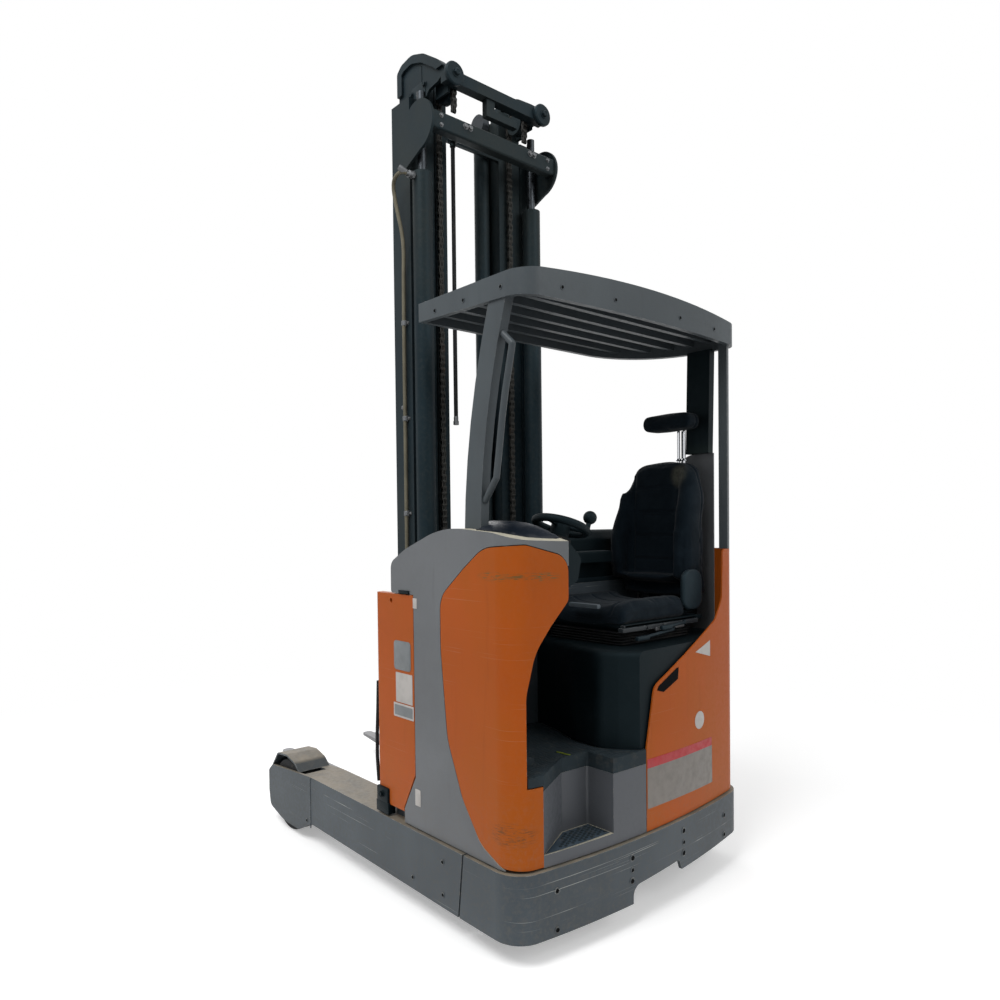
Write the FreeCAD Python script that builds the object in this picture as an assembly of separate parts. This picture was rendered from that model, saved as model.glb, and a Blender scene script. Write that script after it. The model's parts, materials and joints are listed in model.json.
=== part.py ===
"""Electric reach truck with a three-stage mast, in millimetres.

Axes: +X forward (towards the fork tips), +Y left, +Z up. The origin lies on the floor, on the centreline,
midway between the tail and the fork tips.
"""
import FreeCAD, Part
import math
import os

V = FreeCAD.Vector

# ---------------------------------------------------------------- driving dimensions
# Chassis
TAIL_X = -1204.0            # rearmost point of the skirt, on the centreline
HALF_WIDTH = 635.0          # half of the chassis width
REAR_BULGE = 57.0           # how far the rear face curves forward at the sides
CORNER_R = 105.0            # rear corners of the chassis in plan
SKIRT_BOTTOM = 80.0
SKIRT_TOP = 300.0
SKIRT_T = 14.0              # skirt plate
SKIRT_END_X = -872.0        # skirt side ends here, the load arm starts after a slot
ARM_SLOT = 8.0
SKIRT_SLANT = 26.0          # lean of the slot between skirt and arm
NOTCH_LEFT_Y = 128.0        # notch in the lower edge of the skirt
NOTCH_RIGHT_Y = -152.0
NOTCH_LEFT_Z = 140.0
NOTCH_RIGHT_Z = 157.0
NOTCH_R = 38.0
SKIRT_RIGHT_RISE = 37.0     # the lower edge climbs this much right of the notch

# Load arms
ARM_INNER_Y = HALF_WIDTH - 165.0
ARM_TIP_X = 605.0
ARM_JOINT_X = 185.0         # welded joint between the straight arm and its wheel end
ARM_NOSE_TOP_Z = 237.0
ARM_LOW_Z = 35.0
RAIL_DEPTH = 38.0
RAIL_Z0 = 118.0
RAIL_Z1 = 242.0
RAIL_START_X = -560.0
RAIL_END_X = 560.0
POCKET_WALL = 10.0

# Load wheels
LOAD_AXLE_X = 420.0
LOAD_WHEEL_R = 160.0
LOAD_WHEEL_W = 94.0
LOAD_HUB_R = 112.0
LOAD_AXLE_R = 20.0
WHEEL_GAP = 7.0             # free room around a load wheel
HOOD_T = 8.0                # wheel hood plate
HOOD_TOP_Z = 344.0

# Drive wheel and drive unit
DRIVE_X = -895.0
DRIVE_Y = -65.0
DRIVE_R = 172.0
DRIVE_W = 110.0
DRIVE_HUB_R = 122.0
DRIVE_AXLE_R = 30.0
DRIVE_PLATE_Z = 366.0       # underside of the plate that holds the drive unit
DRIVE_PLATE_T = 12.0
TURNTABLE_R = 128.0
MOTOR_R = 96.0

# Cab
PANEL_INSET = 12.0          # body panels stand in from the skirt
PANEL_T = 6.0
PANEL_SEAM = 3.0
SKIRT_SEAM = 5.0            # dark joint between skirt and panels
FLOOR_Z = 590.0
FLOOR_T = 6.0
MAT_T = 9.0
BULKHEAD_X = -652.0
BULKHEAD_T = 8.0
STEP_Z = 345.0
STEP_LEFT_Y = HALF_WIDTH - 123.0
DOOR_Y = HALF_WIDTH - 65.0      # left side of the doorway above the step
DOOR_Z = FLOOR_Z - 25.0         # its sill beside the step
STEP_RIGHT_Y = 212.0
STEP_DEPTH = 146.0
NOSING_H = 42.0             # mat edge turned down over the risers
NOSING_T = 9.0
REAR_PANEL_Y = 40.0         # left edge of the right rear panel
CONSOLE_Y = HALF_WIDTH - 233.0           # inner face of the left console
CONSOLE_LOW_Z = 1120.0
CONSOLE_TOP_Z = 1392.0      # crest of the console's curve
CONSOLE_FRONT_X = -464.0
CORNER_X1 = -770.0          # front edge of the rear corner panel
REAR_WALL_X = -1040.0       # where the rear panel meets the right side wall
REAR_WALL_Z = 1290.0        # top of the rear panel, foot of the rear pillar
SIDE_TOP_Z = 1690.0         # top of the right side wall
MIDDLE_BAR_Z = 1290.0       # inner mast's middle cross-member
RAIL_HIGH_Z = 2010.0        # grab rail ends on the left pillar
RAIL_LOW_Z = 1475.0

# Battery
BATTERY_X0 = -640.0
BATTERY_X1 = -372.0
BATTERY_HALF_Y = HALF_WIDTH - 47.0
BATTERY_Z0 = 345.0
BATTERY_Z1 = 1110.0
COVER_Z1 = 1146.0
COVER_X0 = -606.0
COVER_X1 = -354.0
COVER_FLARE_X = 70.0        # lower rear corner of the cover is cut away by this much
COVER_FLARE_Z0 = 357.0
COVER_FLARE_Z1 = 488.0
TRAY_T = 12.0

# Overhead guard
GUARD_TOP_Z = 2195.0
GUARD_BAND_REAR = 84.0
GUARD_BAND_FRONT = 66.0
GUARD_X0 = -1190.0
GUARD_X1 = -602.0
GUARD_LEFT_Y = HALF_WIDTH - 57.0
GUARD_RIGHT_Y = -HALF_WIDTH + 5.0
GUARD_CROWN = 24.0
GUARD_BULGE = 40.0
GUARD_RIM = 22.0
GUARD_TURN_X = 330.0        # the large front right corner, along each side
GUARD_TURN_Y = 320.0
RIB_COUNT = 6
RIB_W = 22.0

# Seat
SEAT_X = -872.0
SEAT_W = 430.0
SEAT_TOP_Z = 1103.0
CUSHION_T = 76.0
CUSHION_Y0 = 263.0 - HALF_WIDTH   # the seat stands against the right side
CUSHION_Y1 = CUSHION_Y0 + 410.0
BACK_T = 92.0
BOLSTER_T = 62.0            # side bolsters stand this far out of the backrest
BOLSTER_W = 78.0
BACK_TOP_Z = 1660.0
HEADREST_Z = 1820.0
PLINTH_TOP_Z = 945.0
DASH_TOP_Z = 1372.0

# Mast sections: outer width of each stage and their common depth
MAST_X0 = -220.0
MAST_X1 = -90.0
RAIL_FLANGE = 60.0
RAIL_WEB = 14.0
FLANGE_T = 16.0
STAGE_STEP = 66.0           # each stage is nested this far inside the last
OUTER_Y = ARM_INNER_Y - 127.0
MAST_FOOT_Z = 78.0
OUTER_TOP_Z = 3180.0
MIDDLE_TOP_Z = 3330.0
INNER_TOP_Z = 3290.0
LIFT_CYL_X = -263.0
LIFT_CYL_Y = OUTER_Y - 32.0
LIFT_CYL_R = 41.0
LIFT_BORE_R = 30.0
LIFT_ROD_R = 18.0
LIFT_CYL_TOP_Z = 2858.0
LIFT_CYL_FOOT_Z = 112.0
HOSE_END_Z = 1828.0
FREE_CYL_Y = 2 * STAGE_STEP + RAIL_FLANGE + 51.0 - OUTER_Y
FREE_CYL_R = 34.0
FREE_ROD_R = 20.0
FREE_CYL_Z0 = 190.0
FREE_CYL_Z1 = 3125.0
BAR_X0 = -385.0             # rear cross-bar of the outer mast
BAR_X1 = -335.0
BAR_Z0 = 2995.0
BAR_Z1 = 3068.0
EAR_R = 102.0               # round side plates at the ends of that bar
EAR_X = -295.0
EAR_Z = 3028.0
EAR_T = 12.0
HEAD_BAR_X0 = -397.0
HEAD_BAR_X1 = -352.0
HEAD_BAR_Z0 = 3200.0
HEAD_BAR_Z1 = 3248.0
LUG_Y = 40.0                # hose bracket under the head bar
LUG_DROP = 72.0
HEAD_PLATE_Y = OUTER_Y - 93.0        # inner face of the head's side plates
HEAD_PLATE_T = 14.0
HEAD_RIM = 11.0             # arched rim stands out on both faces of the plate
CHAIN_Y = 200.0
CHAIN_W = 30.0
CHAIN_T = 16.0
CHAIN_X = -236.0
SHEAVE_R = 44.0
SHEAVE_Z = 3210.0

# Tilt
TILT_X = -155.0
TILT_Z = 170.0
TILT_CYL_Y = OUTER_Y + 75.0
TILT_CYL_R = 20.0
TILT_ROD_R = 11.0
TILT_FOOT_X = -300.0
TILT_FOOT_Z = 190.0
TILT_EYE_X = -170.0
TILT_EYE_Z = 560.0
PIN_R = 13.0
PIN_CLEARANCE = 0.3

# Reach carriage
CARRIAGE_X0 = -345.0
CARRIAGE_X1 = -60.0
CARRIAGE_Y = OUTER_Y + 32.0          # inner face of the side plates
CARRIAGE_T = 20.0
CARRIAGE_Z0 = 110.0
CARRIAGE_Z1 = 330.0
ROLLER_R = 58.0
ROLLER_W = 28.0
REACH_CYL_Y = 205.0
REACH_CYL_Z = 160.0
REACH_CYL_R = 32.0
REACH_ROD_R = 18.0
REACH_STROKE = 560.0

# Forks
FORK_FACE_X = 54.0          # load face of the fork shanks
FORK_LENGTH = 1150.0
FORK_T = 40.0
FORK_W = 100.0
FORK_Y = 262.0              # centre of each fork
FORK_TOP_Z = 135.0
FORK_SHANK_Z = 640.0
FORK_TIP_T = 12.0
FORK_TIP_W = 52.0
PLATE_HALF_Y = 350.0
ROLLER_GAP = 0.5            # mast rollers in their channels
RUN = 0.3                   # running clearance between faces that touch


# ---------------------------------------------------------------- shape helpers
def box(x0, x1, y0, y1, z0, z1):
    return Part.makeBox(x1 - x0, y1 - y0, z1 - z0, V(x0, y0, z0))


def cyl(x, y, z0, z1, r):
    return Part.makeCylinder(r, z1 - z0, V(x, y, z0), V(0, 0, 1))


def cyl_y(x, z, y0, y1, r):
    return Part.makeCylinder(r, y1 - y0, V(x, y0, z), V(0, 1, 0))


def cyl_x(y, z, x0, x1, r):
    return Part.makeCylinder(r, x1 - x0, V(x0, y, z), V(1, 0, 0))


def rod(start, end, r):
    return Part.makeCylinder(r, (end - start).Length, start, end - start)


def outline(points, place):
    """Closed wire through (u, v) or (u, v, radius) points; a radius rounds that corner with an arc."""
    edges = []
    count = len(points)
    corners = []
    for i, point in enumerate(points):
        u, v = point[0], point[1]
        radius = point[2] if len(point) > 2 else 0.0
        if not radius:
            corners.append((V(u, v, 0), None, V(u, v, 0)))
            continue
        before = points[i - 1]
        after = points[(i + 1) % count]
        here = V(u, v, 0)
        a = (V(before[0], before[1], 0) - here).normalize()
        b = (V(after[0], after[1], 0) - here).normalize()
        half = math.acos(max(-1.0, min(1.0, a.dot(b)))) / 2
        cut = radius / math.tan(half)
        bisector = (a + b).normalize()
        middle = here + bisector * (radius / math.sin(half) - radius)
        corners.append((here + a * cut, middle, here + b * cut))
    for i, (start, middle, end) in enumerate(corners):
        if middle is not None:
            edges.append(Part.Arc(place(start), place(middle), place(end)).toShape())
        following = corners[(i + 1) % count][0]
        if (following - end).Length > 1e-6:
            edges.append(Part.LineSegment(place(end), place(following)).toShape())
    return Part.Wire(Part.__sortEdges__(edges))


def prism_y(points, y0, y1):
    """Side profile of (x, z) points, from y0 to y1."""
    face = Part.Face(outline(points, lambda p: V(p.x, y0, p.y)))
    return face.extrude(V(0, y1 - y0, 0))


def prism_x(points, x0, x1):
    """Cross profile of (y, z) points, from x0 to x1."""
    face = Part.Face(outline(points, lambda p: V(x0, p.x, p.y)))
    return face.extrude(V(x1 - x0, 0, 0))


def prism_z(points, z0, z1):
    """Plan of (x, y) points, from z0 to z1."""
    face = Part.Face(outline(points, lambda p: V(p.x, p.y, z0)))
    return face.extrude(V(0, 0, z1 - z0))


def both_sides(shape):
    """The shape and its mirror image across the centreline."""
    return [shape, shape.mirror(V(0, 0, 0), V(0, 1, 0))]


def mirrored(shape):
    return shape.mirror(V(0, 0, 0), V(0, 1, 0))


def join(shapes):
    whole = shapes[0].multiFuse(shapes[1:]) if len(shapes) > 1 else shapes[0]
    return whole.removeSplitter()


def plan_block(inset, x1, z0, z1):
    """Solid with the chassis plan: curved rear, rounded rear corners, standing in by inset."""
    half = HALF_WIDTH - inset
    tail = TAIL_X + inset
    side_x = tail + REAR_BULGE
    rear = Part.Arc(V(side_x, half, z0), V(tail, 0, z0), V(side_x, -half, z0)).toShape()
    right = Part.LineSegment(V(side_x, -half, z0), V(x1, -half, z0)).toShape()
    front = Part.LineSegment(V(x1, -half, z0), V(x1, half, z0)).toShape()
    left = Part.LineSegment(V(x1, half, z0), V(side_x, half, z0)).toShape()
    solid = Part.Face(Part.Wire([rear, right, front, left])).extrude(V(0, 0, z1 - z0))
    corners = [e for e in solid.Edges if abs(e.tangentAt(e.FirstParameter).z) > 0.99
               and e.CenterOfMass.x < side_x + 1]
    return solid.makeFillet(CORNER_R - inset, corners)


# ---------------------------------------------------------------- chassis
def chassis_skirt():
    wrap = plan_block(0, SKIRT_END_X, SKIRT_BOTTOM, SKIRT_TOP)
    wrap = wrap.cut(plan_block(SKIRT_T, SKIRT_END_X + 1, SKIRT_BOTTOM - 1, SKIRT_TOP + 1))
    slant = prism_y([(SKIRT_END_X - SKIRT_SLANT, SKIRT_TOP + 1), (SKIRT_END_X + 1, SKIRT_TOP + 1),
                     (SKIRT_END_X + 1, SKIRT_BOTTOM - 1), (SKIRT_END_X, SKIRT_BOTTOM - 1)],
                    -HALF_WIDTH - 1, HALF_WIDTH + 1)
    under = SKIRT_BOTTOM - 1
    rise = SKIRT_BOTTOM + SKIRT_RIGHT_RISE
    notch = prism_x([(NOTCH_LEFT_Y, under), (NOTCH_LEFT_Y, NOTCH_LEFT_Z, NOTCH_R),
                     (NOTCH_RIGHT_Y + 16, NOTCH_RIGHT_Z, 16), (NOTCH_RIGHT_Y, rise), (-HALF_WIDTH - 1, rise + 18),
                     (-HALF_WIDTH - 1, under)], TAIL_X - 1, TAIL_X + REAR_BULGE + CORNER_R)
    return wrap.cut(slant).cut(notch)


def arm_side_profile():
    """Side view of an arm: straight box, then a deeper rounded end around the wheel."""
    start_low = SKIRT_END_X + ARM_SLOT
    start_high = start_low - SKIRT_SLANT
    nose_low = 72.0
    nose_back = 13.0
    shoulder_x = 300.0
    return [(start_low, SKIRT_BOTTOM), (ARM_JOINT_X, SKIRT_BOTTOM + 14), (shoulder_x, ARM_LOW_Z, 60),
            (ARM_TIP_X - 150, ARM_LOW_Z, 300), (ARM_TIP_X - nose_back, nose_low, 30),
            (ARM_TIP_X, ARM_NOSE_TOP_Z - 95, 40), (ARM_TIP_X, ARM_NOSE_TOP_Z, 18),
            (ARM_TIP_X - 40, SKIRT_TOP - 30, 40), (ARM_JOINT_X, SKIRT_TOP), (start_high, SKIRT_TOP)]


def load_arm():
    """Left arm: closed box with a roller rail along its inner side and an open pocket for the wheel."""
    arm = prism_y(arm_side_profile(), ARM_INNER_Y, HALF_WIDTH)
    rail = box(RAIL_START_X, RAIL_END_X, ARM_INNER_Y - 1, ARM_INNER_Y + RAIL_DEPTH, RAIL_Z0, RAIL_Z1)
    pocket_y0 = ARM_INNER_Y + RAIL_DEPTH + POCKET_WALL
    pocket_y1 = pocket_y0 + LOAD_WHEEL_W + WHEEL_GAP + POCKET_WALL / 2
    reach = LOAD_WHEEL_R + WHEEL_GAP
    pocket = box(LOAD_AXLE_X - reach, LOAD_AXLE_X + reach, pocket_y0, pocket_y1, 0, SKIRT_TOP + 1)
    lightening = box(RAIL_START_X, LOAD_AXLE_X - reach - 60, pocket_y0, pocket_y1,
                     SKIRT_BOTTOM + 24, SKIRT_TOP - 14)
    wheel_y = (pocket_y0 + pocket_y1) / 2
    axle = cyl_y(LOAD_AXLE_X, LOAD_WHEEL_R, pocket_y0 - POCKET_WALL, HALF_WIDTH, LOAD_AXLE_R)
    spacer = cyl_y(LOAD_AXLE_X, LOAD_WHEEL_R, pocket_y0, wheel_y - LOAD_WHEEL_W / 2 - 1, LOAD_AXLE_R + 12)
    spacer_out = cyl_y(LOAD_AXLE_X, LOAD_WHEEL_R, wheel_y + LOAD_WHEEL_W / 2 + 1, pocket_y1, LOAD_AXLE_R + 12)
    arm = arm.cut(rail).cut(pocket).cut(lightening)
    return join([arm, axle, spacer, spacer_out])


def load_wheel_y():
    pocket_y0 = ARM_INNER_Y + RAIL_DEPTH + POCKET_WALL
    pocket_y1 = pocket_y0 + LOAD_WHEEL_W + WHEEL_GAP + POCKET_WALL / 2
    return (pocket_y0 + pocket_y1) / 2


def wheel_hood():
    """Bent sheet over the left load wheel: sloped rear face, flat top, front slope, open at the sides."""
    rear_foot = LOAD_AXLE_X - 118
    profile = [(rear_foot, SKIRT_TOP - 60), (rear_foot, SKIRT_TOP - 12), (LOAD_AXLE_X - 70, HOOD_TOP_Z - 20, 50),
               (LOAD_AXLE_X + 10, HOOD_TOP_Z, 50), (LOAD_AXLE_X + 104, HOOD_TOP_Z - 9, 30),
               (ARM_TIP_X - 16, SKIRT_TOP - 44), (ARM_TIP_X - 16, SKIRT_TOP - 60)]
    side = 4.0
    outer = prism_y(profile, ARM_INNER_Y + side, HALF_WIDTH - 2 * side)
    inner = prism_y([(x, z - HOOD_T) + tuple(rest) for x, z, *rest in profile], ARM_INNER_Y, HALF_WIDTH)
    arm_zone = prism_y(arm_side_profile(), ARM_INNER_Y - 1, HALF_WIDTH + 1)
    return outer.cut(inner).cut(arm_zone).Solids[0]

def load_hub():
    y = load_wheel_y()
    half = LOAD_WHEEL_W / 2
    hub = cyl_y(LOAD_AXLE_X, LOAD_WHEEL_R, y - half, y + half, LOAD_HUB_R)
    dish_r = LOAD_HUB_R - 22
    dish_depth = 14.0
    for y0 in (y - half - 1, y + half - dish_depth):
        dish = cyl_y(LOAD_AXLE_X, LOAD_WHEEL_R, y0, y0 + dish_depth + 1, dish_r)
        boss = cyl_y(LOAD_AXLE_X, LOAD_WHEEL_R, y0, y0 + dish_depth + 1, LOAD_AXLE_R + 18)
        hub = hub.cut(dish.cut(boss))
    return hub.cut(cyl_y(LOAD_AXLE_X, LOAD_WHEEL_R, y - half - 1, y + half + 1, LOAD_AXLE_R + RUN))


def tyre(x, y, r, width, hub_r):
    """Solid press-on tyre with rounded shoulders."""
    ring = cyl_y(x, r, y - width / 2, y + width / 2, r)
    rims = [e for e in ring.Edges if e.Curve.TypeId == "Part::GeomCircle"]
    ring = ring.makeFillet(8, rims)
    return ring.cut(cyl_y(x, r, y - width / 2 - 1, y + width / 2 + 1, hub_r))


def chassis_frame():
    """Plates inside the chassis: drive plate, side webs, cross-beam, bulkhead and battery tray."""
    inner = SKIRT_T
    z0 = DRIVE_PLATE_Z
    web_y = ARM_INNER_Y
    web_t = 12.0
    floor_under = FLOOR_Z - FLOOR_T
    plate = plan_block(inner + PANEL_INSET + PANEL_T, BULKHEAD_X, z0, z0 + DRIVE_PLATE_T)
    plate = plate.common(box(TAIL_X, 0, -web_y, web_y, 0, 1000))
    step_room = box(TAIL_X, TAIL_X + STEP_DEPTH + 40, STEP_RIGHT_Y - 30, HALF_WIDTH, STEP_Z - 20, 1000)
    plate = plate.cut(step_room)
    plate = plate.cut(cyl(DRIVE_X, DRIVE_Y, z0 - 1, z0 + DRIVE_PLATE_T + 1, MOTOR_R + 8))
    web_x0 = TAIL_X + STEP_DEPTH + 9
    webs = []
    for side in (-1, 1):
        y0 = web_y if side > 0 else -web_y - web_t
        webs.append(box(web_x0, BULKHEAD_X, y0, y0 + web_t, SKIRT_TOP, floor_under))
    ring_t = 12.0
    ring = plan_block(SKIRT_T + RUN, SKIRT_END_X - SKIRT_SLANT - 2, SKIRT_TOP - ring_t, SKIRT_TOP)
    ring_w = 60.0
    opening = box(TAIL_X + SKIRT_T + ring_w, 0, -web_y - 20, web_y + 20, 0, SKIRT_TOP + 1)
    ring = ring.cut(opening)
    post_x = TAIL_X + SKIRT_T + ring_w - 25
    posts = [box(post_x, post_x + 20, y, y + 40, SKIRT_TOP - ring_t, z0) for y in (-web_y + 40, STEP_RIGHT_Y - 90)]
    bulkhead = box(BULKHEAD_X, BULKHEAD_X + BULKHEAD_T, -BATTERY_HALF_Y, BATTERY_HALF_Y, SKIRT_TOP, COVER_Z1)
    tray = box(BULKHEAD_X, BATTERY_X1 + 6, -BATTERY_HALF_Y, BATTERY_HALF_Y, BATTERY_Z0 - TRAY_T, BATTERY_Z0)
    beam = box(BULKHEAD_X, BULKHEAD_X + 60, -ARM_INNER_Y, ARM_INNER_Y, 215, BATTERY_Z0 - TRAY_T)
    shelf = box(BULKHEAD_X, BATTERY_X1 - 60, -BATTERY_HALF_Y, BATTERY_HALF_Y, SKIRT_TOP, BATTERY_Z0 - TRAY_T)
    return join([plate, *webs, ring, *posts, bulkhead, tray, beam, shelf])


def battery():
    """Battery block with a dark edge strip in front of each side cover."""
    block = box(BATTERY_X0, BATTERY_X1, -BATTERY_HALF_Y, BATTERY_HALF_Y, BATTERY_Z0 + RUN, BATTERY_Z1)
    strip = box(BATTERY_X1 - 1, COVER_X1 + 20, BATTERY_HALF_Y - 30, BATTERY_HALF_Y, BATTERY_Z0 + 24, BATTERY_Z1)
    return join([block, *both_sides(strip)])

def flare(grow):
    """Side outline of the panel foot that cuts into the battery cover's lower rear corner."""
    return [(COVER_X0 - 40, COVER_FLARE_Z1 + grow), (COVER_X0 + grow, COVER_FLARE_Z1 + grow),
            (COVER_X0 + COVER_FLARE_X + grow, COVER_FLARE_Z0 + grow), (COVER_X0 + COVER_FLARE_X + grow, SKIRT_TOP),
            (COVER_X0 - 40, SKIRT_TOP)]


def battery_cover():
    """Left battery side cover: a flat plate with rounded front edge."""
    y0 = BATTERY_HALF_Y + RUN
    y1 = HALF_WIDTH - PANEL_INSET
    cover = box(COVER_X0, COVER_X1, y0, y1, BATTERY_Z0, COVER_Z1)
    front = [e for e in cover.Edges if abs(e.tangentAt(e.FirstParameter).z) > 0.99
             and e.CenterOfMass.x > COVER_X1 - 1 and e.CenterOfMass.y > y1 - 1]
    cover = cover.makeFillet(20, front)
    cover = cover.cut(prism_y(flare(PANEL_SEAM), y0 - 1, y1 + 1))
    return cover.cut(cyl_y(COVER_X0 + 143, COVER_Z1 - 27, y1 - 8, y1 + 1, 9))

# ---------------------------------------------------------------- body panels
def console_profile():
    """Side view of the left console: long curve from the battery up to the cab corner."""
    front = CONSOLE_FRONT_X
    top = CONSOLE_TOP_Z
    low = SKIRT_TOP + SKIRT_SEAM
    return [(TAIL_X, low), (COVER_X0 + COVER_FLARE_X, low), (COVER_X0 + COVER_FLARE_X, COVER_FLARE_Z0),
            (COVER_X0 - PANEL_SEAM, COVER_FLARE_Z1), (COVER_X0 - PANEL_SEAM, COVER_Z1 + PANEL_SEAM),
            (front, COVER_Z1 + PANEL_SEAM, 12), (front, top - 130, 40), (front - 96, top - 80, 200),
            (front - 326, top, 500), (TAIL_X + 152, top - 20, 400), (TAIL_X, top - 60)]


def corner_region():
    """Volume that cuts the rear corner panel out of the body skin."""
    low = SKIRT_TOP + SKIRT_SEAM
    top = CONSOLE_TOP_Z
    side = prism_y([(TAIL_X - 1, low), (TAIL_X + 124, low + 8, 60), (TAIL_X + 230, low + 54, 100),
                    (TAIL_X + 322, low + 177, 150), (CORNER_X1 - 33, FLOOR_Z + 77, 200), (CORNER_X1, CONSOLE_LOW_Z - 150, 500),
                    (CORNER_X1, top - 242, 90), (CORNER_X1 - 127, top - 142, 200), (TAIL_X + 204, top - 70, 150),
                    (TAIL_X - 1, top - 56)], 0, HALF_WIDTH + 1)
    rear = prism_x([(HALF_WIDTH + 1, low), (STEP_LEFT_Y, low), (STEP_LEFT_Y, DOOR_Z), (DOOR_Y, DOOR_Z),
                    (DOOR_Y, FLOOR_Z + 270, 160), (DOOR_Y - 31, CONSOLE_LOW_Z - 130, 200),
                    (DOOR_Y - 94, CONSOLE_LOW_Z - 48, 150), (CONSOLE_Y + 2, CONSOLE_LOW_Z + 30, 30),
                    (CONSOLE_Y + 2, CONSOLE_LOW_Z + 142, 60), (CONSOLE_Y + 28, top - 96, 60),
                    (HALF_WIDTH - 35, top - 52, 60), (HALF_WIDTH + 1, top - 52)], TAIL_X - 1, CORNER_X1 + 70)
    return side.common(rear)


def skin(x1, z0, z1):
    """Thin body skin that follows the chassis plan."""
    return plan_block(PANEL_INSET, x1, z0, z1).cut(
        plan_block(PANEL_INSET + PANEL_T, x1 + 1, z0 - 1, z1 + 1))


def corner_panel():
    wall = skin(CORNER_X1 + 70, SKIRT_TOP + SKIRT_SEAM, CONSOLE_TOP_Z - 47)
    return wall.common(corner_region()).Solids[0]


def console_hood():
    """Grey left side: outer skin, sloped top and inner wall of the console, open below."""
    top = CONSOLE_TOP_Z + 28
    low = SKIRT_TOP + SKIRT_SEAM
    shape = prism_y(console_profile(), CONSOLE_Y, HALF_WIDTH)
    whole = shape.common(plan_block(PANEL_INSET, CONSOLE_FRONT_X + 64, low, top))
    lowered = shape.copy()
    lowered.translate(V(0, 0, -PANEL_T))
    hollow = lowered.common(plan_block(PANEL_INSET + PANEL_T, CONSOLE_FRONT_X - PANEL_T, low - PANEL_T, top))
    hollow = hollow.common(box(TAIL_X, 0, CONSOLE_Y + PANEL_T, HALF_WIDTH, 0, top))
    shell = whole.cut(hollow)
    under = box(TAIL_X - 1, 0, CONSOLE_Y - 1, HALF_WIDTH - PANEL_INSET - PANEL_T, 0, CONSOLE_LOW_Z)
    shell = shell.cut(under)
    corner = corner_region()
    grown = [corner]
    for dx, dz in ((PANEL_SEAM, 0), (0, PANEL_SEAM), (0, -PANEL_SEAM)):
        moved = corner.copy()
        moved.translate(V(dx, 0, dz))
        grown.append(moved)
    for piece in grown:
        shell = shell.cut(piece)
    shell = shell.cut(box(BULKHEAD_X - RUN, BULKHEAD_X + BULKHEAD_T + RUN, CONSOLE_Y - 1, BATTERY_HALF_Y + RUN,
                          0, COVER_Z1 + RUN))
    shell = shell.cut(box(BULKHEAD_X, 0, CONSOLE_Y - 1, BATTERY_HALF_Y + RUN, 0, COVER_Z1))
    # what lies right of the corner panel below the console is the open doorway
    doorway = box(TAIL_X - 1, TAIL_X + 104, CONSOLE_Y - 1, HALF_WIDTH - 31, 0, CONSOLE_LOW_Z + 142)
    shell = shell.cut(doorway)
    solids = sorted(shell.Solids, key=lambda s: s.Volume)
    return solids[-1]


def rear_outline(grow):
    """Rear view of the right rear panel, as (y, z) points."""
    low = SKIRT_TOP + SKIRT_SEAM
    left = REAR_PANEL_Y + grow
    edge = -HALF_WIDTH - 1
    return [(left, low), (edge, low), (edge, REAR_WALL_Z), (-HALF_WIDTH + 135, REAR_WALL_Z, 20),
            (-HALF_WIDTH + 143, REAR_WALL_Z - 200, 60), (-HALF_WIDTH + 203, REAR_WALL_Z - 277, 60),
            (REAR_PANEL_Y - 47, FLOOR_Z + 225, 50), (left, FLOOR_Z + 5)]


def rear_panel():
    """Orange panel right of the step, with the pillar foot at the corner."""
    wall = skin(REAR_WALL_X, SKIRT_TOP + SKIRT_SEAM, REAR_WALL_Z)
    return wall.common(prism_x(rear_outline(0), TAIL_X - 1, REAR_WALL_X)).Solids[0]


def right_wall():
    """Grey right side wall between the rear corner and the battery cover."""
    y0 = -HALF_WIDTH + PANEL_INSET
    low = SKIRT_TOP + SKIRT_SEAM
    wall = prism_y([(REAR_WALL_X + PANEL_SEAM, low), (COVER_X0 + COVER_FLARE_X, low),
                    (COVER_X0 + COVER_FLARE_X, COVER_FLARE_Z0), (COVER_X0 - PANEL_SEAM, COVER_FLARE_Z1),
                    (COVER_X0 - PANEL_SEAM, COVER_Z1 + 40, 60), (COVER_X0 - 114, COVER_Z1 + 154, 160),
                    (REAR_WALL_X + 160, SIDE_TOP_Z, 90), (REAR_WALL_X + PANEL_SEAM, SIDE_TOP_Z)], y0, y0 + PANEL_T)
    ledge = box(BULKHEAD_X + BULKHEAD_T, COVER_X0 - PANEL_SEAM, y0 + PANEL_T, -BATTERY_HALF_Y, low, COVER_Z1)
    return join([wall, ledge])


def cab_liner():
    """Dark liner on the cab side of the left console: sloped knee panel and curved side."""
    t = 5.0
    x0 = TAIL_X + 62
    x1 = BULKHEAD_X - RUN
    top = CONSOLE_LOW_Z - RUN
    outer_y = HALF_WIDTH - PANEL_INSET - PANEL_T - RUN
    side_y = HALF_WIDTH - 45
    knee_y = HALF_WIDTH - 95
    knee_z = CONSOLE_LOW_Z - 80
    bend_z = FLOOR_Z + 290
    mat = FLOOR_Z + RUN
    outside = [(side_y, mat), (side_y, bend_z, 160), (knee_y, knee_z, 120), (CONSOLE_Y + 8, top),
               (CONSOLE_Y + 8 + t, top), (knee_y + t, knee_z + t, 120), (side_y + t, bend_z, 160), (side_y + t, mat)]
    liner = prism_x(outside, x0 + 40, x1)
    return liner.common(plan_block(PANEL_INSET + PANEL_T + RUN, 0, 0, 2000))


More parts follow.
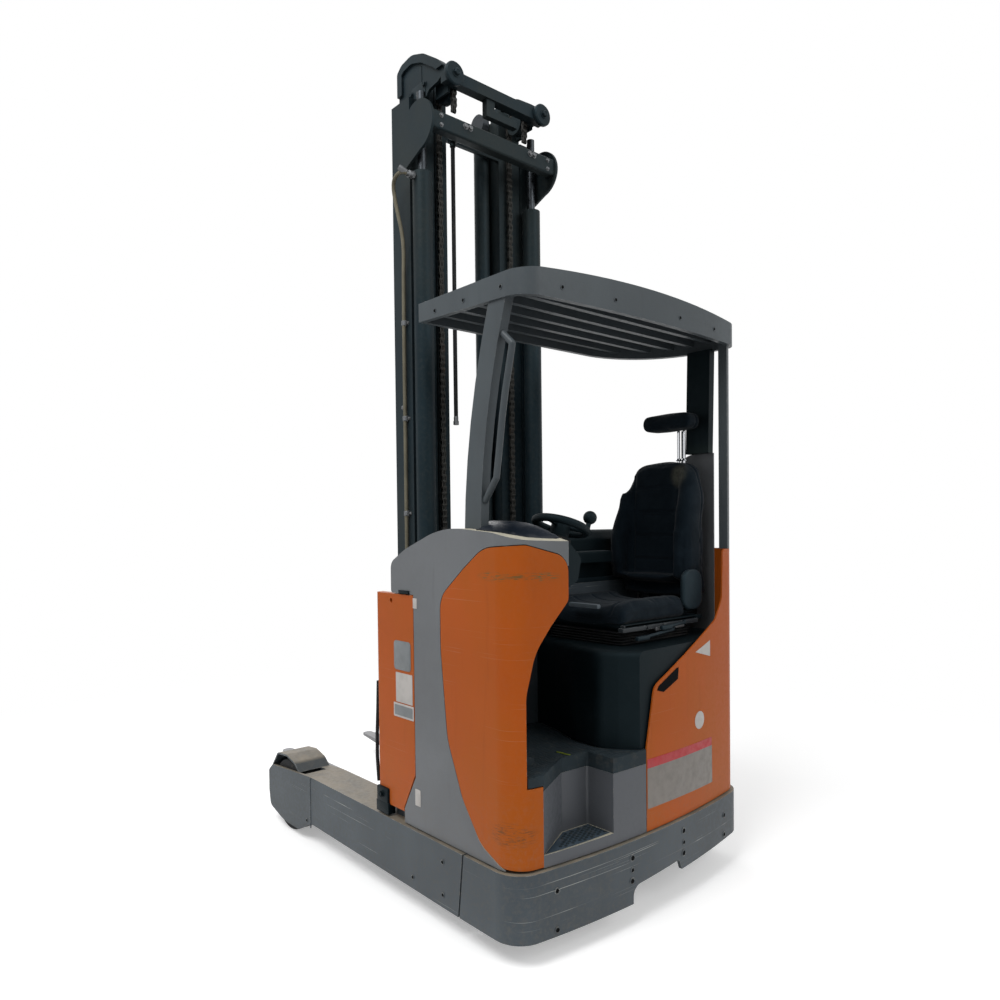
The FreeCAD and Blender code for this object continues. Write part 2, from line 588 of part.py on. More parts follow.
def step_plan(grow):
    """Plan of the step recess, grown outwards."""
    deep = TAIL_X + STEP_DEPTH + grow
    knee_y = STEP_RIGHT_Y + 122
    return [(TAIL_X - 1, STEP_LEFT_Y + grow), (TAIL_X + 52, STEP_LEFT_Y + grow, 12), (deep, knee_y, 14 + grow),
            (deep - 8, STEP_RIGHT_Y - grow, 10 + grow), (TAIL_X - 1, STEP_RIGHT_Y - grow)]


def cab_floor():
    """Floor plate, step recess and the grey riser panels at the rear."""
    inset = PANEL_INSET + PANEL_T + RUN
    low = SKIRT_TOP + SKIRT_SEAM
    riser_top = FLOOR_Z - NOSING_H
    under_mat = FLOOR_Z - FLOOR_T
    t = 5.0
    floor = plan_block(PANEL_INSET + NOSING_T + RUN, BULKHEAD_X - RUN, under_mat, FLOOR_Z)
    floor = floor.common(join([box(TAIL_X, 0, REAR_PANEL_Y + PANEL_SEAM, STEP_LEFT_Y, 0, FLOOR_Z + 1),
                               plan_block(inset, 0, 0, FLOOR_Z + 1)]))
    floor = floor.cut(prism_z(step_plan(NOSING_T + RUN), STEP_Z, FLOOR_Z + 1))
    walls = prism_z(step_plan(t), low, under_mat).cut(prism_z(step_plan(0), STEP_Z, FLOOR_Z))
    walls = walls.cut(prism_z(step_plan(-t), low - 1, STEP_Z - t))
    walls = walls.common(plan_block(PANEL_INSET, 0, low, FLOOR_Z))
    walls = walls.cut(skin(-1000, low, FLOOR_Z).common(box(TAIL_X, 0, STEP_LEFT_Y - RUN, HALF_WIDTH, low, FLOOR_Z)))
    riser = skin(BULKHEAD_X, low, under_mat)
    riser = riser.common(box(TAIL_X, -1100, REAR_PANEL_Y + PANEL_SEAM, STEP_LEFT_Y, low, FLOOR_Z))
    riser = riser.cut(prism_z(step_plan(0), STEP_Z, FLOOR_Z + 1))
    edge = join([plan_block(PANEL_INSET - 1, 0, riser_top, FLOOR_Z).cut(
        plan_block(PANEL_INSET + NOSING_T + RUN, 1, riser_top - 1, FLOOR_Z + 1)),
        prism_z(step_plan(NOSING_T + RUN), riser_top, FLOOR_Z)])
    edge = edge.common(box(TAIL_X - 1, -900, REAR_PANEL_Y, STEP_LEFT_Y + NOSING_T + 1, riser_top, FLOOR_Z))
    ledge = plan_block(PANEL_INSET + PANEL_T - 1, 0, riser_top - t, riser_top)
    ledge = ledge.common(box(TAIL_X, -1100, REAR_PANEL_Y + PANEL_SEAM, STEP_LEFT_Y, 0, FLOOR_Z))
    ledge = ledge.cut(plan_block(PANEL_INSET + NOSING_T + 8, 0, 0, FLOOR_Z)).cut(prism_z(step_plan(0), STEP_Z, FLOOR_Z))
    post = plan_block(PANEL_INSET + NOSING_T + RUN, 0, riser_top - t, under_mat)
    post = post.common(box(TAIL_X, -1100, REAR_PANEL_Y + PANEL_SEAM, STEP_RIGHT_Y - NOSING_T - 1, 0, FLOOR_Z))
    post = post.cut(plan_block(PANEL_INSET + NOSING_T + 8, 0, 0, FLOOR_Z))
    kerb = prism_z(step_plan(NOSING_T + RUN + t), riser_top - t, under_mat).cut(
        prism_z(step_plan(NOSING_T + RUN), riser_top, FLOOR_Z)).cut(prism_z(step_plan(0), STEP_Z, FLOOR_Z))
    kerb = kerb.common(plan_block(PANEL_INSET + NOSING_T + RUN, 0, 0, FLOOR_Z))
    kerb = kerb.common(box(TAIL_X, 0, REAR_PANEL_Y, STEP_LEFT_Y, 0, FLOOR_Z))
    tub = join([walls, riser]).cut(edge)
    return join([tub, floor, ledge, post, kerb])


def floor_mat():
    """Ribbed mat on the floor, with its edge turned down over the risers and around the step."""
    top = FLOOR_Z + MAT_T
    low = FLOOR_Z - NOSING_H + RUN
    sheet = plan_block(PANEL_INSET, BULKHEAD_X - 2, FLOOR_Z + RUN, top)
    door_y = DOOR_Y - 4
    open_edge = box(TAIL_X, 0, REAR_PANEL_Y + PANEL_SEAM, door_y, 0, 1000)
    within = plan_block(PANEL_INSET + PANEL_T + 4, 0, 0, 1000)
    sheet = sheet.common(join([open_edge, within])).common(box(TAIL_X, 0, -40, HALF_WIDTH - 50, 0, 1000))
    rear_lip = plan_block(PANEL_INSET, 0, low, top).cut(plan_block(PANEL_INSET + NOSING_T, 1, low - 1, top + 1))
    rear_lip = rear_lip.common(join([box(TAIL_X, -1000, REAR_PANEL_Y + PANEL_SEAM, STEP_LEFT_Y - 4, 0, 1000),
                                     box(TAIL_X, -1000, STEP_LEFT_Y - 5, door_y, DOOR_Z + 4, 1000)]))
    step_lip = prism_z(step_plan(NOSING_T), low, top).common(plan_block(PANEL_INSET, 0, 0, 1000))
    step_lip = step_lip.common(box(TAIL_X, 0, REAR_PANEL_Y, STEP_LEFT_Y, 0, 1000))
    mat = join([sheet, rear_lip, step_lip])
    mat = mat.cut(prism_z(step_plan(0), STEP_Z, top + 1))
    return mat.cut(plinth_volume(4))


def dashboard():
    """Dark cover on the left console with the steering column, and the dash across the front of the cab."""
    y0 = CONSOLE_Y - 150
    y1 = CONSOLE_Y - RUN
    base = prism_x([(y1, 1150), (y1, 1330, 20), (y1 - 72, 1350, 30), (y0, 1280, 30),
                    (y0 + 20, 1200, 30)], -1085, -700)
    column = rod(V(*WHEEL_CENTRE) - V(*WHEEL_AXIS) * 130, V(*WHEEL_CENTRE) - V(*WHEEL_AXIS) * (33 + RUN), 34)
    foot = COVER_Z1 + RUN

    def front(inset, low_y, high_y):
        """Hollow dash along the front of the cab; inset moves its face away from the seat."""
        x = BULKHEAD_X + inset
        x1 = BULKHEAD_X + 152
        outside = prism_y([(x + 4, foot), (x + 2, 1330, 25), (x + 24, DASH_TOP_Z, 25),
                           (x1 - 60, DASH_TOP_Z, 30), (x1, 1290, 20), (x1, foot)], low_y, high_y)
        inside = prism_y([(x + 14, foot - 1), (x + 14, 1320), (x + 32, DASH_TOP_Z - 10),
                          (x1 - 64, DASH_TOP_Z - 10), (x1 - 10, 1285), (x1 - 10, foot - 1)], low_y + 10, high_y - 10)
        return outside.cut(inside)

    seat_edge = CUSHION_Y0 + 10
    link = box(-760, BULKHEAD_X + 10, y0 + 30, y1, 1200, 1320)
    return join([base, column, front(0, seat_edge, y1), front(18, DASH_Y0, seat_edge + 4), link])


DASH_Y0 = 60.0 - HALF_WIDTH   # the dash ends short of the right side wall

WHEEL_CENTRE = (-998.0, 262.0, 1390.0)
WHEEL_AXIS = (0.0, -0.34202, 0.93969)
WHEEL_R = 92.0
WHEEL_RIM_R = 14.0


def steering_wheel():
    """Small wheel with three spokes and a spinner knob."""
    centre = V(*WHEEL_CENTRE)
    axis = V(*WHEEL_AXIS)
    rim = Part.makeTorus(WHEEL_R, WHEEL_RIM_R, centre, axis)
    hub = Part.makeCylinder(34, 40, centre - axis * 33, axis)
    spokes = []
    for angle in (100, 220, 340):
        spoke = Part.makeCylinder(9, WHEEL_R - 4, centre, V(1, 0, 0))
        spoke.rotate(centre, axis, angle)
        spokes.append(spoke)
    side = V(-1, 0, 0)
    side = FreeCAD.Rotation(axis, 42).multVec(side)
    foot = centre + side * WHEEL_R
    stem = Part.makeCylinder(9, 44, foot, axis)
    knob = Part.makeSphere(24, foot + axis * 52)
    return join([rim, hub, stem, knob, *spokes])


def pedals():
    """Three pedals in front of the seat, on stalks from the knee panel side."""
    pads = []
    low = FLOOR_Z + MAT_T + RUN
    wall = HALF_WIDTH - 105
    for x in (-1010, -880, -760):
        pads.append(prism_x([(wall - 78, low), (wall, low), (wall, FLOOR_Z + 60), (wall - 78, FLOOR_Z + 30)], x - 38, x + 38))
    return Part.makeCompound(pads)


# ---------------------------------------------------------------- overhead guard
def guard_plan(inset, z0, z1):
    """Roof plan: curved rear, sharp front left corner, large front right corner."""
    x0 = GUARD_X0 + inset
    x1 = GUARD_X1 - inset
    left = GUARD_LEFT_Y - inset
    right = GUARD_RIGHT_Y + inset
    start_x = x0 + GUARD_BULGE
    rear = Part.Arc(V(start_x, left, z0), V(x0, 0, z0), V(start_x, right, z0)).toShape()
    turn_x = x1 - GUARD_TURN_X
    turn_y = right + GUARD_TURN_Y
    ease = 0.45
    corner = Part.BezierCurve()
    corner.setPoles([V(turn_x, right, z0), V(x1 - GUARD_TURN_X * (1 - ease) * 0.8, right, z0),
                     V(x1, right + GUARD_TURN_Y * (1 - ease) * 0.8, z0), V(x1, turn_y, z0)])
    corner = corner.toShape()
    right_side = Part.LineSegment(V(start_x, right, z0), V(turn_x, right, z0)).toShape()
    front = Part.LineSegment(V(x1, turn_y, z0), V(x1, left, z0)).toShape()
    left_side = Part.LineSegment(V(x1, left, z0), V(start_x, left, z0)).toShape()
    solid = Part.Face(Part.Wire([rear, right_side, corner, front, left_side])).extrude(V(0, 0, z1 - z0))
    rear_corners = [e for e in solid.Edges if abs(e.tangentAt(e.FirstParameter).z) > 0.99
                    and e.CenterOfMass.x < start_x + 1]
    return solid.makeFillet(90 - min(inset, 40), rear_corners)


def crown(drop, z0):
    """Solid under the crowned roof surface, lowered by drop, down to z0."""
    half = (GUARD_LEFT_Y - GUARD_RIGHT_Y) / 2
    middle = (GUARD_LEFT_Y + GUARD_RIGHT_Y) / 2
    radius = (half ** 2 + GUARD_CROWN ** 2) / (2 * GUARD_CROWN)
    drum = cyl_x(middle, GUARD_TOP_Z + GUARD_CROWN - radius - drop, GUARD_X0 - 5, GUARD_X1 + 5, radius)
    return drum.common(box(GUARD_X0 - 5, GUARD_X1 + 5, middle - half - 40, middle + half + 40, z0, GUARD_TOP_Z + 100))


def guard_roof():
    """Band around the crowned roof with a lid, open below."""
    low_front = GUARD_TOP_Z - GUARD_BAND_FRONT
    low_rear = GUARD_TOP_Z - GUARD_BAND_REAR
    lid_t = 12.0
    outer = guard_plan(0, low_rear - 5, GUARD_TOP_Z + GUARD_CROWN + 1).common(crown(0, low_rear - 5))
    wedge = prism_y([(GUARD_X0 - 1, low_rear), (GUARD_X1 + 1, low_front), (GUARD_X1 + 1, 2000),
                     (GUARD_X0 - 1, 2000)], -700, 700)
    hollow = guard_plan(GUARD_RIM, 2000, GUARD_TOP_Z + GUARD_CROWN).common(crown(lid_t, 2000))
    return outer.cut(wedge).cut(hollow)

def guard_ribs():
    """Bars across the roof opening, under the lid."""
    span_x0 = GUARD_X0 + 70
    span_x1 = GUARD_X1 - 60
    step = (span_x1 - span_x0) / (RIB_COUNT - 1)
    low = GUARD_TOP_Z - 46.0
    plan = guard_plan(GUARD_RIM + RUN, low, GUARD_TOP_Z + GUARD_CROWN).common(crown(12 + RUN, low - 1))
    bars = []
    for i in range(RIB_COUNT):
        x = span_x0 + i * step
        bars.append(box(x - RIB_W / 2, x + RIB_W / 2, -HALF_WIDTH, HALF_WIDTH, low, GUARD_TOP_Z + GUARD_CROWN).common(plan))
    return Part.makeCompound([bar.Solids[0] for bar in bars])

def slanted_post(foot, head, along, across, plate):
    """Rectangular hollow post from foot to head; its section lies level."""
    def ring(p, a, b):
        return Part.Wire(Part.makePolygon([V(p.x - a, p.y - b, p.z), V(p.x + a, p.y - b, p.z),
                                           V(p.x + a, p.y + b, p.z), V(p.x - a, p.y + b, p.z),
                                           V(p.x - a, p.y - b, p.z)]))
    outer = Part.makeLoft([ring(foot, along, across), ring(head, along, across)], True, True)
    inner = Part.makeLoft([ring(foot, along - plate, across - plate), ring(head, along - plate, across - plate)],
                          True, True)
    return outer.cut(inner)


PILLAR_FOOT_X = -888.0      # left front pillar, bowed towards the rear as it rises
PILLAR_HEAD_X = -1026.0
PILLAR_FOOT_Z = 1362.0
PILLAR_HEAD_Z = GUARD_TOP_Z - GUARD_BAND_REAR + 10
PILLAR_Y = HALF_WIDTH - 80.0
PILLAR_BOW = 30.0           # how far its middle stands ahead of a straight post
PILLAR_HALF = 42.0          # half of the pillar's section, along the truck
PILLAR_ACROSS = 17.0
PILLAR_WALL = 4.0
PILLAR_BENDS = 6
RAIL_R = 11.0
RAIL_STANDOFF = 56.0        # grab rail's centre line from the pillar's rear face


def pillar_x(z):
    """Centre of the left front pillar at height z."""
    share = (z - PILLAR_FOOT_Z) / (PILLAR_HEAD_Z - PILLAR_FOOT_Z)
    return PILLAR_FOOT_X + share * (PILLAR_HEAD_X - PILLAR_FOOT_X) + 4 * PILLAR_BOW * share * (1 - share)


def pillar_left():
    rise = (PILLAR_HEAD_Z - PILLAR_FOOT_Z) / PILLAR_BENDS
    heights = [PILLAR_FOOT_Z + k * rise for k in range(PILLAR_BENDS + 1)]

    def tube(thin):
        along, across = PILLAR_HALF - thin, PILLAR_ACROSS - thin
        rings = [Part.Wire(Part.makePolygon([V(pillar_x(z) + i * along, PILLAR_Y + j * across, z)
                                             for i, j in ((-1, -1), (1, -1), (1, 1), (-1, 1), (-1, -1))]))
                 for z in heights]
        return Part.makeLoft(rings, True, True)

    post = tube(0).cut(tube(PILLAR_WALL))
    console = prism_y(console_profile(), CONSOLE_Y - 1, HALF_WIDTH + 1)
    return post.cut(console).cut(guard_roof()).Solids[0]


def pillar_rear():
    """Broad curved pillar at the right rear corner."""
    low = REAR_WALL_Z + RUN
    high = GUARD_TOP_Z - GUARD_BAND_REAR + 22
    wall = plan_block(PANEL_INSET, BULKHEAD_X, low, high)
    wall = wall.cut(plan_block(PANEL_INSET + 34, BULKHEAD_X + 1, low - 1, GUARD_TOP_Z))
    wall = wall.common(box(TAIL_X, TAIL_X + 96, -HALF_WIDTH, -HALF_WIDTH + 90, low, GUARD_TOP_Z)).cut(guard_roof())
    return max(wall.Solids, key=lambda solid: solid.Volume)


def pillar_right():
    """Right front pillar, standing on the side wall and reaching up to the guard."""
    y = -HALF_WIDTH + PANEL_INSET + 17
    foot = V(-975, y, SIDE_TOP_Z + RUN)
    head = V(-985, y, GUARD_TOP_Z - GUARD_BAND_REAR + 10)
    return slanted_post(foot, head, 56, 17, 4).cut(guard_roof()).Solids[0]


def grab_rail():
    """Bent handrail behind the left front pillar, at the way in, fixed to it at both ends."""
    top, foot = RAIL_HIGH_Z, RAIL_LOW_Z

    def at(z, out):
        return V(pillar_x(z) - PILLAR_HALF - out, PILLAR_Y, z)

    path = [at(top, 0), at(top - 40, RAIL_STANDOFF), at(top - 190, RAIL_STANDOFF), at((top + foot) / 2, RAIL_STANDOFF),
            at(foot + 150, RAIL_STANDOFF), at(foot + 75, RAIL_STANDOFF - 4), at(foot, 0)]
    pieces = [rod(a, b, RAIL_R) for a, b in zip(path, path[1:])]
    pieces += [Part.makeSphere(RAIL_R, p) for p in path[1:-1]]
    rail = join(pieces).cut(pillar_left())
    return max(rail.Solids, key=lambda solid: solid.Volume)


# ---------------------------------------------------------------- seat
def plinth_volume(grow):
    """Rounded body under the seat, from the floor mat up, as wide as the cab's right half."""
    y_far = -HALF_WIDTH + PANEL_INSET + PANEL_T + 12
    plan = prism_z([(BULKHEAD_X - 1, 52 + grow), (-784, 82 + grow, 60), (-940, 142 + grow, 90), (-1062, 150 + grow, 70),
                    (-1124, 110 + grow, 60), (TAIL_X, 40 + grow), (TAIL_X, y_far), (BULKHEAD_X - 1, y_far)],
                   FLOOR_Z + RUN, PLINTH_TOP_Z)
    return plan.common(plan_block(PANEL_INSET + PANEL_T + 5, 0, 0, PLINTH_TOP_Z))


def seat_base():
    """Plinth, suspension box under the seat, and the frame that holds the headrest post."""
    half = SEAT_W / 2
    pan_top = SEAT_TOP_Z - CUSHION_T
    plinth = plinth_volume(0)
    plinth = plinth.cut(box(TAIL_X, 0, -HALF_WIDTH, HALF_WIDTH, FLOOR_Z, FLOOR_Z + MAT_T + RUN))
    rims = [e for e in plinth.Edges if abs(e.BoundBox.ZMin - PLINTH_TOP_Z) < 1e-6 and e.CenterOfMass.y > 20]
    plinth = plinth.makeFillet(24, rims)
    spine_y = CUSHION_Y0 - 80 - BACK_T - 2 * RUN
    suspension = box(SEAT_X - half + 40, SEAT_X + half - 40, CUSHION_Y0 - 30, CUSHION_Y1 - 40, PLINTH_TOP_Z, pan_top - 14)
    pan = box(SEAT_X - half, SEAT_X + half, CUSHION_Y0 - 80, CUSHION_Y1 - 14, pan_top - 14, pan_top - RUN)
    spine = box(SEAT_X - 120, SEAT_X + 120, spine_y - 14, spine_y, pan_top - 14, BACK_TOP_Z - 80)
    foot = box(SEAT_X - 120, SEAT_X + 120, spine_y, CUSHION_Y0 - 80, pan_top - 14, pan_top - RUN)
    post = cyl(SEAT_X - 60, spine_y - 7, BACK_TOP_Z - 80, HEADREST_Z - 34, 7)
    return join([plinth, suspension, pan, spine, foot, post])


def seat_cushion():
    half = SEAT_W / 2
    pad = box(SEAT_X - half, SEAT_X + half, CUSHION_Y0, CUSHION_Y1, SEAT_TOP_Z - CUSHION_T, SEAT_TOP_Z)
    return pad.makeFillet(26, [e for e in pad.Edges if e.BoundBox.ZMax > SEAT_TOP_Z - 1])


def seat_back():
    """Backrest with side bolsters, wide at the ribs and rounded at the shoulders."""
    half = SEAT_W / 2
    wide = half + 16
    y1 = CUSHION_Y0 - 80
    y0 = y1 - BACK_T
    low = SEAT_TOP_Z - 10
    waist = COVER_Z1 + 10
    face = [(SEAT_X - half, low, 30), (SEAT_X + half - 6, low, 30), (SEAT_X + half - 6, waist, 20), (SEAT_X + wide, waist + 70, 60),
            (SEAT_X + wide, 1430, 160), (SEAT_X + 92, BACK_TOP_Z, 70), (SEAT_X - 150, BACK_TOP_Z, 80), (SEAT_X - half, 1500, 120)]
    pad = prism_y(face, y0, y1)
    room = box(SEAT_X - half + BOLSTER_W, SEAT_X + wide - BOLSTER_W, y1 - 1, y1 + BOLSTER_T + 1, low + 90, BACK_TOP_Z + 1)
    sides = prism_y(face, y1 - 1, y1 + BOLSTER_T).cut(room)
    sides = sides.common(prism_x([(y1 - 1, waist), (y1 + BOLSTER_T, waist), (y1 + BOLSTER_T, BACK_TOP_Z - 200, 150),
                                  (y1 + 8, BACK_TOP_Z - 12), (y1 - 1, BACK_TOP_Z - 12)], SEAT_X - 400, SEAT_X + 400))
    return join([pad, sides])


def headrest():
    back_y = CUSHION_Y0 - 80 - BACK_T - 14 - 2 * RUN
    x = SEAT_X - 16
    pad = box(x - 125, x + 125, back_y - 10, back_y + 78, HEADREST_Z - 34 + RUN, HEADREST_Z + 42)
    corners = [e for e in pad.Edges if e.BoundBox.YLength > 50]
    pad = pad.makeFillet(34, corners)
    return pad.makeFillet(9, [e for e in pad.Edges if e.BoundBox.YLength < 1])


def armrest():
    """Right-hand armrest on the dash, with the control lever pod at its front end."""
    x1 = BULKHEAD_X + 2 - RUN
    x0 = x1 - 66
    low = SEAT_TOP_Z + 132
    y0 = CUSHION_Y0 + 36
    arm = box(x0, x1, y0, -30, low, low + 48)
    arm = arm.makeFillet(12, [e for e in arm.Edges if e.BoundBox.ZMin > low + 47 and e.CenterOfMass.x < x1 - 1])
    pod = box(x0 - 10, x1, -30, 84, low - 10, low + 56)
    stick = rod(V(x0 + 28, 30, low + 40), V(x0 + 28, 42, low + 105), 12)
    knob = Part.makeSphere(21, V(x0 + 28, 44, low + 115))
    return join([arm, pod, stick, knob])


# ---------------------------------------------------------------- drive unit
def drive_unit():
    """Turntable with motor above and a one-sided gearbox that carries the drive wheel."""
    gap = 8.0
    wall = 36.0
    plate_top = DRIVE_PLATE_Z + DRIVE_PLATE_T
    table = cyl(DRIVE_X, DRIVE_Y, DRIVE_R * 2 + 6, DRIVE_PLATE_Z - RUN, TURNTABLE_R)
    neck = cyl(DRIVE_X, DRIVE_Y, DRIVE_PLATE_Z - RUN, plate_top + RUN, MOTOR_R)
    motor = cyl(DRIVE_X, DRIVE_Y, plate_top + RUN, FLOOR_Z - FLOOR_T - 8, MOTOR_R)
    y0 = DRIVE_Y + DRIVE_W / 2 + gap
    gearbox = prism_y([(DRIVE_X - 70, DRIVE_R * 2 + 8), (DRIVE_X + 70, DRIVE_R * 2 + 8), (DRIVE_X + 88, DRIVE_R, 60),
                       (DRIVE_X + 60, DRIVE_R - 84, 50), (DRIVE_X - 60, DRIVE_R - 84, 50), (DRIVE_X - 88, DRIVE_R, 60)],
                      y0, y0 + wall)
    shaft = cyl_y(DRIVE_X, DRIVE_R, DRIVE_Y - DRIVE_W / 2, y0, DRIVE_AXLE_R)
    return join([table, neck, motor, gearbox, shaft])


def drive_hub():
    half = DRIVE_W / 2
    hub = cyl_y(DRIVE_X, DRIVE_R, DRIVE_Y - half, DRIVE_Y + half, DRIVE_HUB_R)
    dish = cyl_y(DRIVE_X, DRIVE_R, DRIVE_Y - half - 1, DRIVE_Y - half + 22, DRIVE_HUB_R - 18)
    hub = hub.cut(dish.cut(cyl_y(DRIVE_X, DRIVE_R, DRIVE_Y - half - 1, DRIVE_Y - half + 22, 58)))
    return hub.cut(cyl_y(DRIVE_X, DRIVE_R, DRIVE_Y - half - 1, DRIVE_Y + half + 1, DRIVE_AXLE_R + RUN))


# ---------------------------------------------------------------- mast
def channel(outer_y, z0, z1):
    """Left C-section, web outside, flanges pointing inwards."""
    section = box(MAST_X0, MAST_X1, outer_y - RAIL_FLANGE, outer_y, z0, z1)
    room = box(MAST_X0 + FLANGE_T, MAST_X1 - FLANGE_T, outer_y - RAIL_FLANGE - 1, outer_y - RAIL_WEB, z0 - 1, z1 + 1)
    return section.cut(room)


def stage_rollers(outer_y):
    """Rollers on the left side of a stage that run in the channel outside it."""
    x = (MAST_X0 + MAST_X1) / 2
    r = (MAST_X1 - MAST_X0) / 2 - FLANGE_T - ROLLER_GAP
    room = STAGE_STEP - RAIL_WEB
    rollers = []
    for z in (MAST_FOOT_Z + 110, MAST_FOOT_Z + 400):
        rollers.append(cyl_y(x, z, outer_y, outer_y + 8, 20))
        rollers.append(cyl_y(x, z, outer_y + 8, outer_y + room - 5, r))
    return rollers


def outer_mast():
    """Outer channels, foot and rear cross-members, round side plates, tilt brackets."""
    left = [channel(OUTER_Y, MAST_FOOT_Z, OUTER_TOP_Z)]
    ear_y = OUTER_Y
    ear_plan = cyl_y(EAR_X, EAR_Z, ear_y, ear_y + EAR_T, EAR_R)
    flank = prism_y([(EAR_X, EAR_Z + EAR_R), (MAST_X0 + 24, EAR_Z + 66), (MAST_X0 + 24, EAR_Z - 150),
                     (EAR_X - 40, EAR_Z - 92)], ear_y, ear_y + EAR_T)
    left += [ear_plan, flank]
    foot = box(LIFT_CYL_X - LIFT_CYL_R, MAST_X0, OUTER_Y - RAIL_FLANGE, OUTER_Y, LIFT_CYL_FOOT_Z - 22, LIFT_CYL_FOOT_Z)
    tilt_lug = box(TILT_EYE_X - 26, TILT_EYE_X + 26, OUTER_Y, OUTER_Y + 20, TILT_EYE_Z - 40, TILT_EYE_Z + 40)
    tilt_pin = cyl_y(TILT_EYE_X, TILT_EYE_Z, OUTER_Y, TILT_CYL_Y + 16, PIN_R)
    pivot_pin = cyl_y(TILT_X, TILT_Z, OUTER_Y, CARRIAGE_Y + CARRIAGE_T + 6, PIN_R + 6)
    left += [foot, tilt_lug, tilt_pin, pivot_pin]
    parts = []
    for piece in left:
        parts += both_sides(piece)
    bar = box(BAR_X0, BAR_X1, -OUTER_Y - EAR_T, OUTER_Y + EAR_T, BAR_Z0, BAR_Z1)
    bar = bar.makeFillet(9, [e for e in bar.Edges if abs(e.tangentAt(e.FirstParameter).y) > 0.99])
    low_bar = box(BAR_X1 + 22, LIFT_CYL_X - LIFT_CYL_R, -OUTER_Y, OUTER_Y, LIFT_CYL_FOOT_Z - 22, LIFT_CYL_FOOT_Z + 60)
    low_tie = box(LIFT_CYL_X - LIFT_CYL_R, MAST_X0 - 34, -OUTER_Y, OUTER_Y, LIFT_CYL_FOOT_Z - 22, LIFT_CYL_FOOT_Z)
    return join(parts + [bar, low_bar, low_tie])


def lift_cylinders():
    """Two lift cylinder barrels behind the outer channels."""
    tube = cyl(LIFT_CYL_X, LIFT_CYL_Y, LIFT_CYL_FOOT_Z, LIFT_CYL_TOP_Z, LIFT_CYL_R)
    tube = tube.cut(cyl(LIFT_CYL_X, LIFT_CYL_Y, LIFT_CYL_FOOT_Z + 40, LIFT_CYL_TOP_Z - 50, LIFT_BORE_R))
    tube = tube.cut(cyl(LIFT_CYL_X, LIFT_CYL_Y, LIFT_CYL_TOP_Z - 51, LIFT_CYL_TOP_Z + 1, LIFT_ROD_R + RUN))
    return Part.makeCompound(both_sides(tube))


def lift_rods():
    rods = cyl(LIFT_CYL_X, LIFT_CYL_Y, LIFT_CYL_FOOT_Z + 60, OUTER_TOP_Z + 8 - RUN, LIFT_ROD_R)
    return Part.makeCompound(both_sides(rods))


def smooth_pipe(points, radius):
    """Pipe of straight runs and tangent arcs through the points."""
    edges = []
    last = points[0]
    for i in range(1, len(points) - 1):
        before, here, after = points[i - 1], points[i], points[i + 1]
        a = (before - here)
        b = (after - here)
        turn = math.pi - a.getAngle(b)
        bend = 0.45 * min(a.Length, b.Length) / math.tan(turn / 2)
        cut = bend * math.tan(turn / 2)
        a.normalize()
        b.normalize()
        start = here + a * cut
        end = here + b * cut
        middle = here + (a + b).normalize() * (bend / math.cos(turn / 2) - bend)
        edges.append(Part.LineSegment(last, start).toShape())
        edges.append(Part.Arc(start, middle, end).toShape())
        last = end
    edges.append(Part.LineSegment(last, points[-1]).toShape())
    path = Part.Wire(edges)
    profile = Part.Wire(Part.Circle(points[0], points[1] - points[0], radius).toShape())
    return path.makePipeShell([profile], True, False)


def mast_hoses():
    """Feed pipe of the left lift cylinder, clipped down the channel, and a spare hose hanging behind the mast."""
    r = 8.0
    port_z = LIFT_CYL_TOP_Z - 22
    port_y = LIFT_CYL_Y + LIFT_CYL_R
    out_y = OUTER_Y + r + RUN
    route = [V(LIFT_CYL_X, port_y + 8, port_z), V(LIFT_CYL_X, OUTER_Y + 46, port_z + 4),
             V(-205, OUTER_Y + 52, port_z + 14), V(-152, OUTER_Y + 46, port_z - 40),
             V(-158, OUTER_Y + 30, port_z - 130), V(-172, out_y, port_z - 240), V(-176, out_y, port_z - 420)]
    feed = smooth_pipe(route, r)
    down = cyl(-176, out_y, 620, port_z - 420, r)
    nipple = cyl_y(LIFT_CYL_X, port_z, port_y - 1, port_y + 8, 12)
    nipple = nipple.cut(cyl(LIFT_CYL_X, LIFT_CYL_Y, port_z - 30, port_z + 30, LIFT_CYL_R + RUN / 2))
    hose = cyl(-275, 158, HOSE_END_Z + 34, BAR_Z0 + 30, r + 1)
    fitting = cyl(-275, 158, HOSE_END_Z, HOSE_END_Z + 36, r + 3)
    clip = box(BAR_X1 + RUN, -262, 140, 176, BAR_Z0 + 30, BAR_Z0 + 66)
    return Part.makeCompound([join([feed, down, nipple]), join([hose, fitting, clip])])


def head_plate():
    """Left side plate of the middle mast's head, arched over the outer mast, with a rim around its arch."""
    base = OUTER_TOP_Z + 8
    crest = OUTER_TOP_Z + 219
    side = [(-50, base), (-50, crest - 34, 20), (-84, crest - 10, 40), (-160, crest, 100), (-246, crest - 32, 120),
            (-343, crest - 99, 150), (-374, crest - 131, 14), (-366, crest - 163, 12), (-331, crest - 180, 16),
            (-268, crest - 187, 16), (-246, base, 14)]
    y0 = HEAD_PLATE_Y + HEAD_RIM
    y1 = y0 + HEAD_PLATE_T
    rim_y = y0 - HEAD_RIM
    face = Part.Face(outline(side, lambda p: V(p.x, rim_y, p.y)))
    width = HEAD_PLATE_T + 2 * HEAD_RIM
    rim = face.extrude(V(0, width, 0)).cut(face.makeOffset2D(-HEAD_RIM_H).extrude(V(0, width, 0)))
    rim = rim.common(box(HEAD_BAR_X0, 0, 0, HALF_WIDTH, base + 75, crest + 1))
    return join([prism_y(side, y0, y1), rim])


HEAD_RIM_H = 34.0

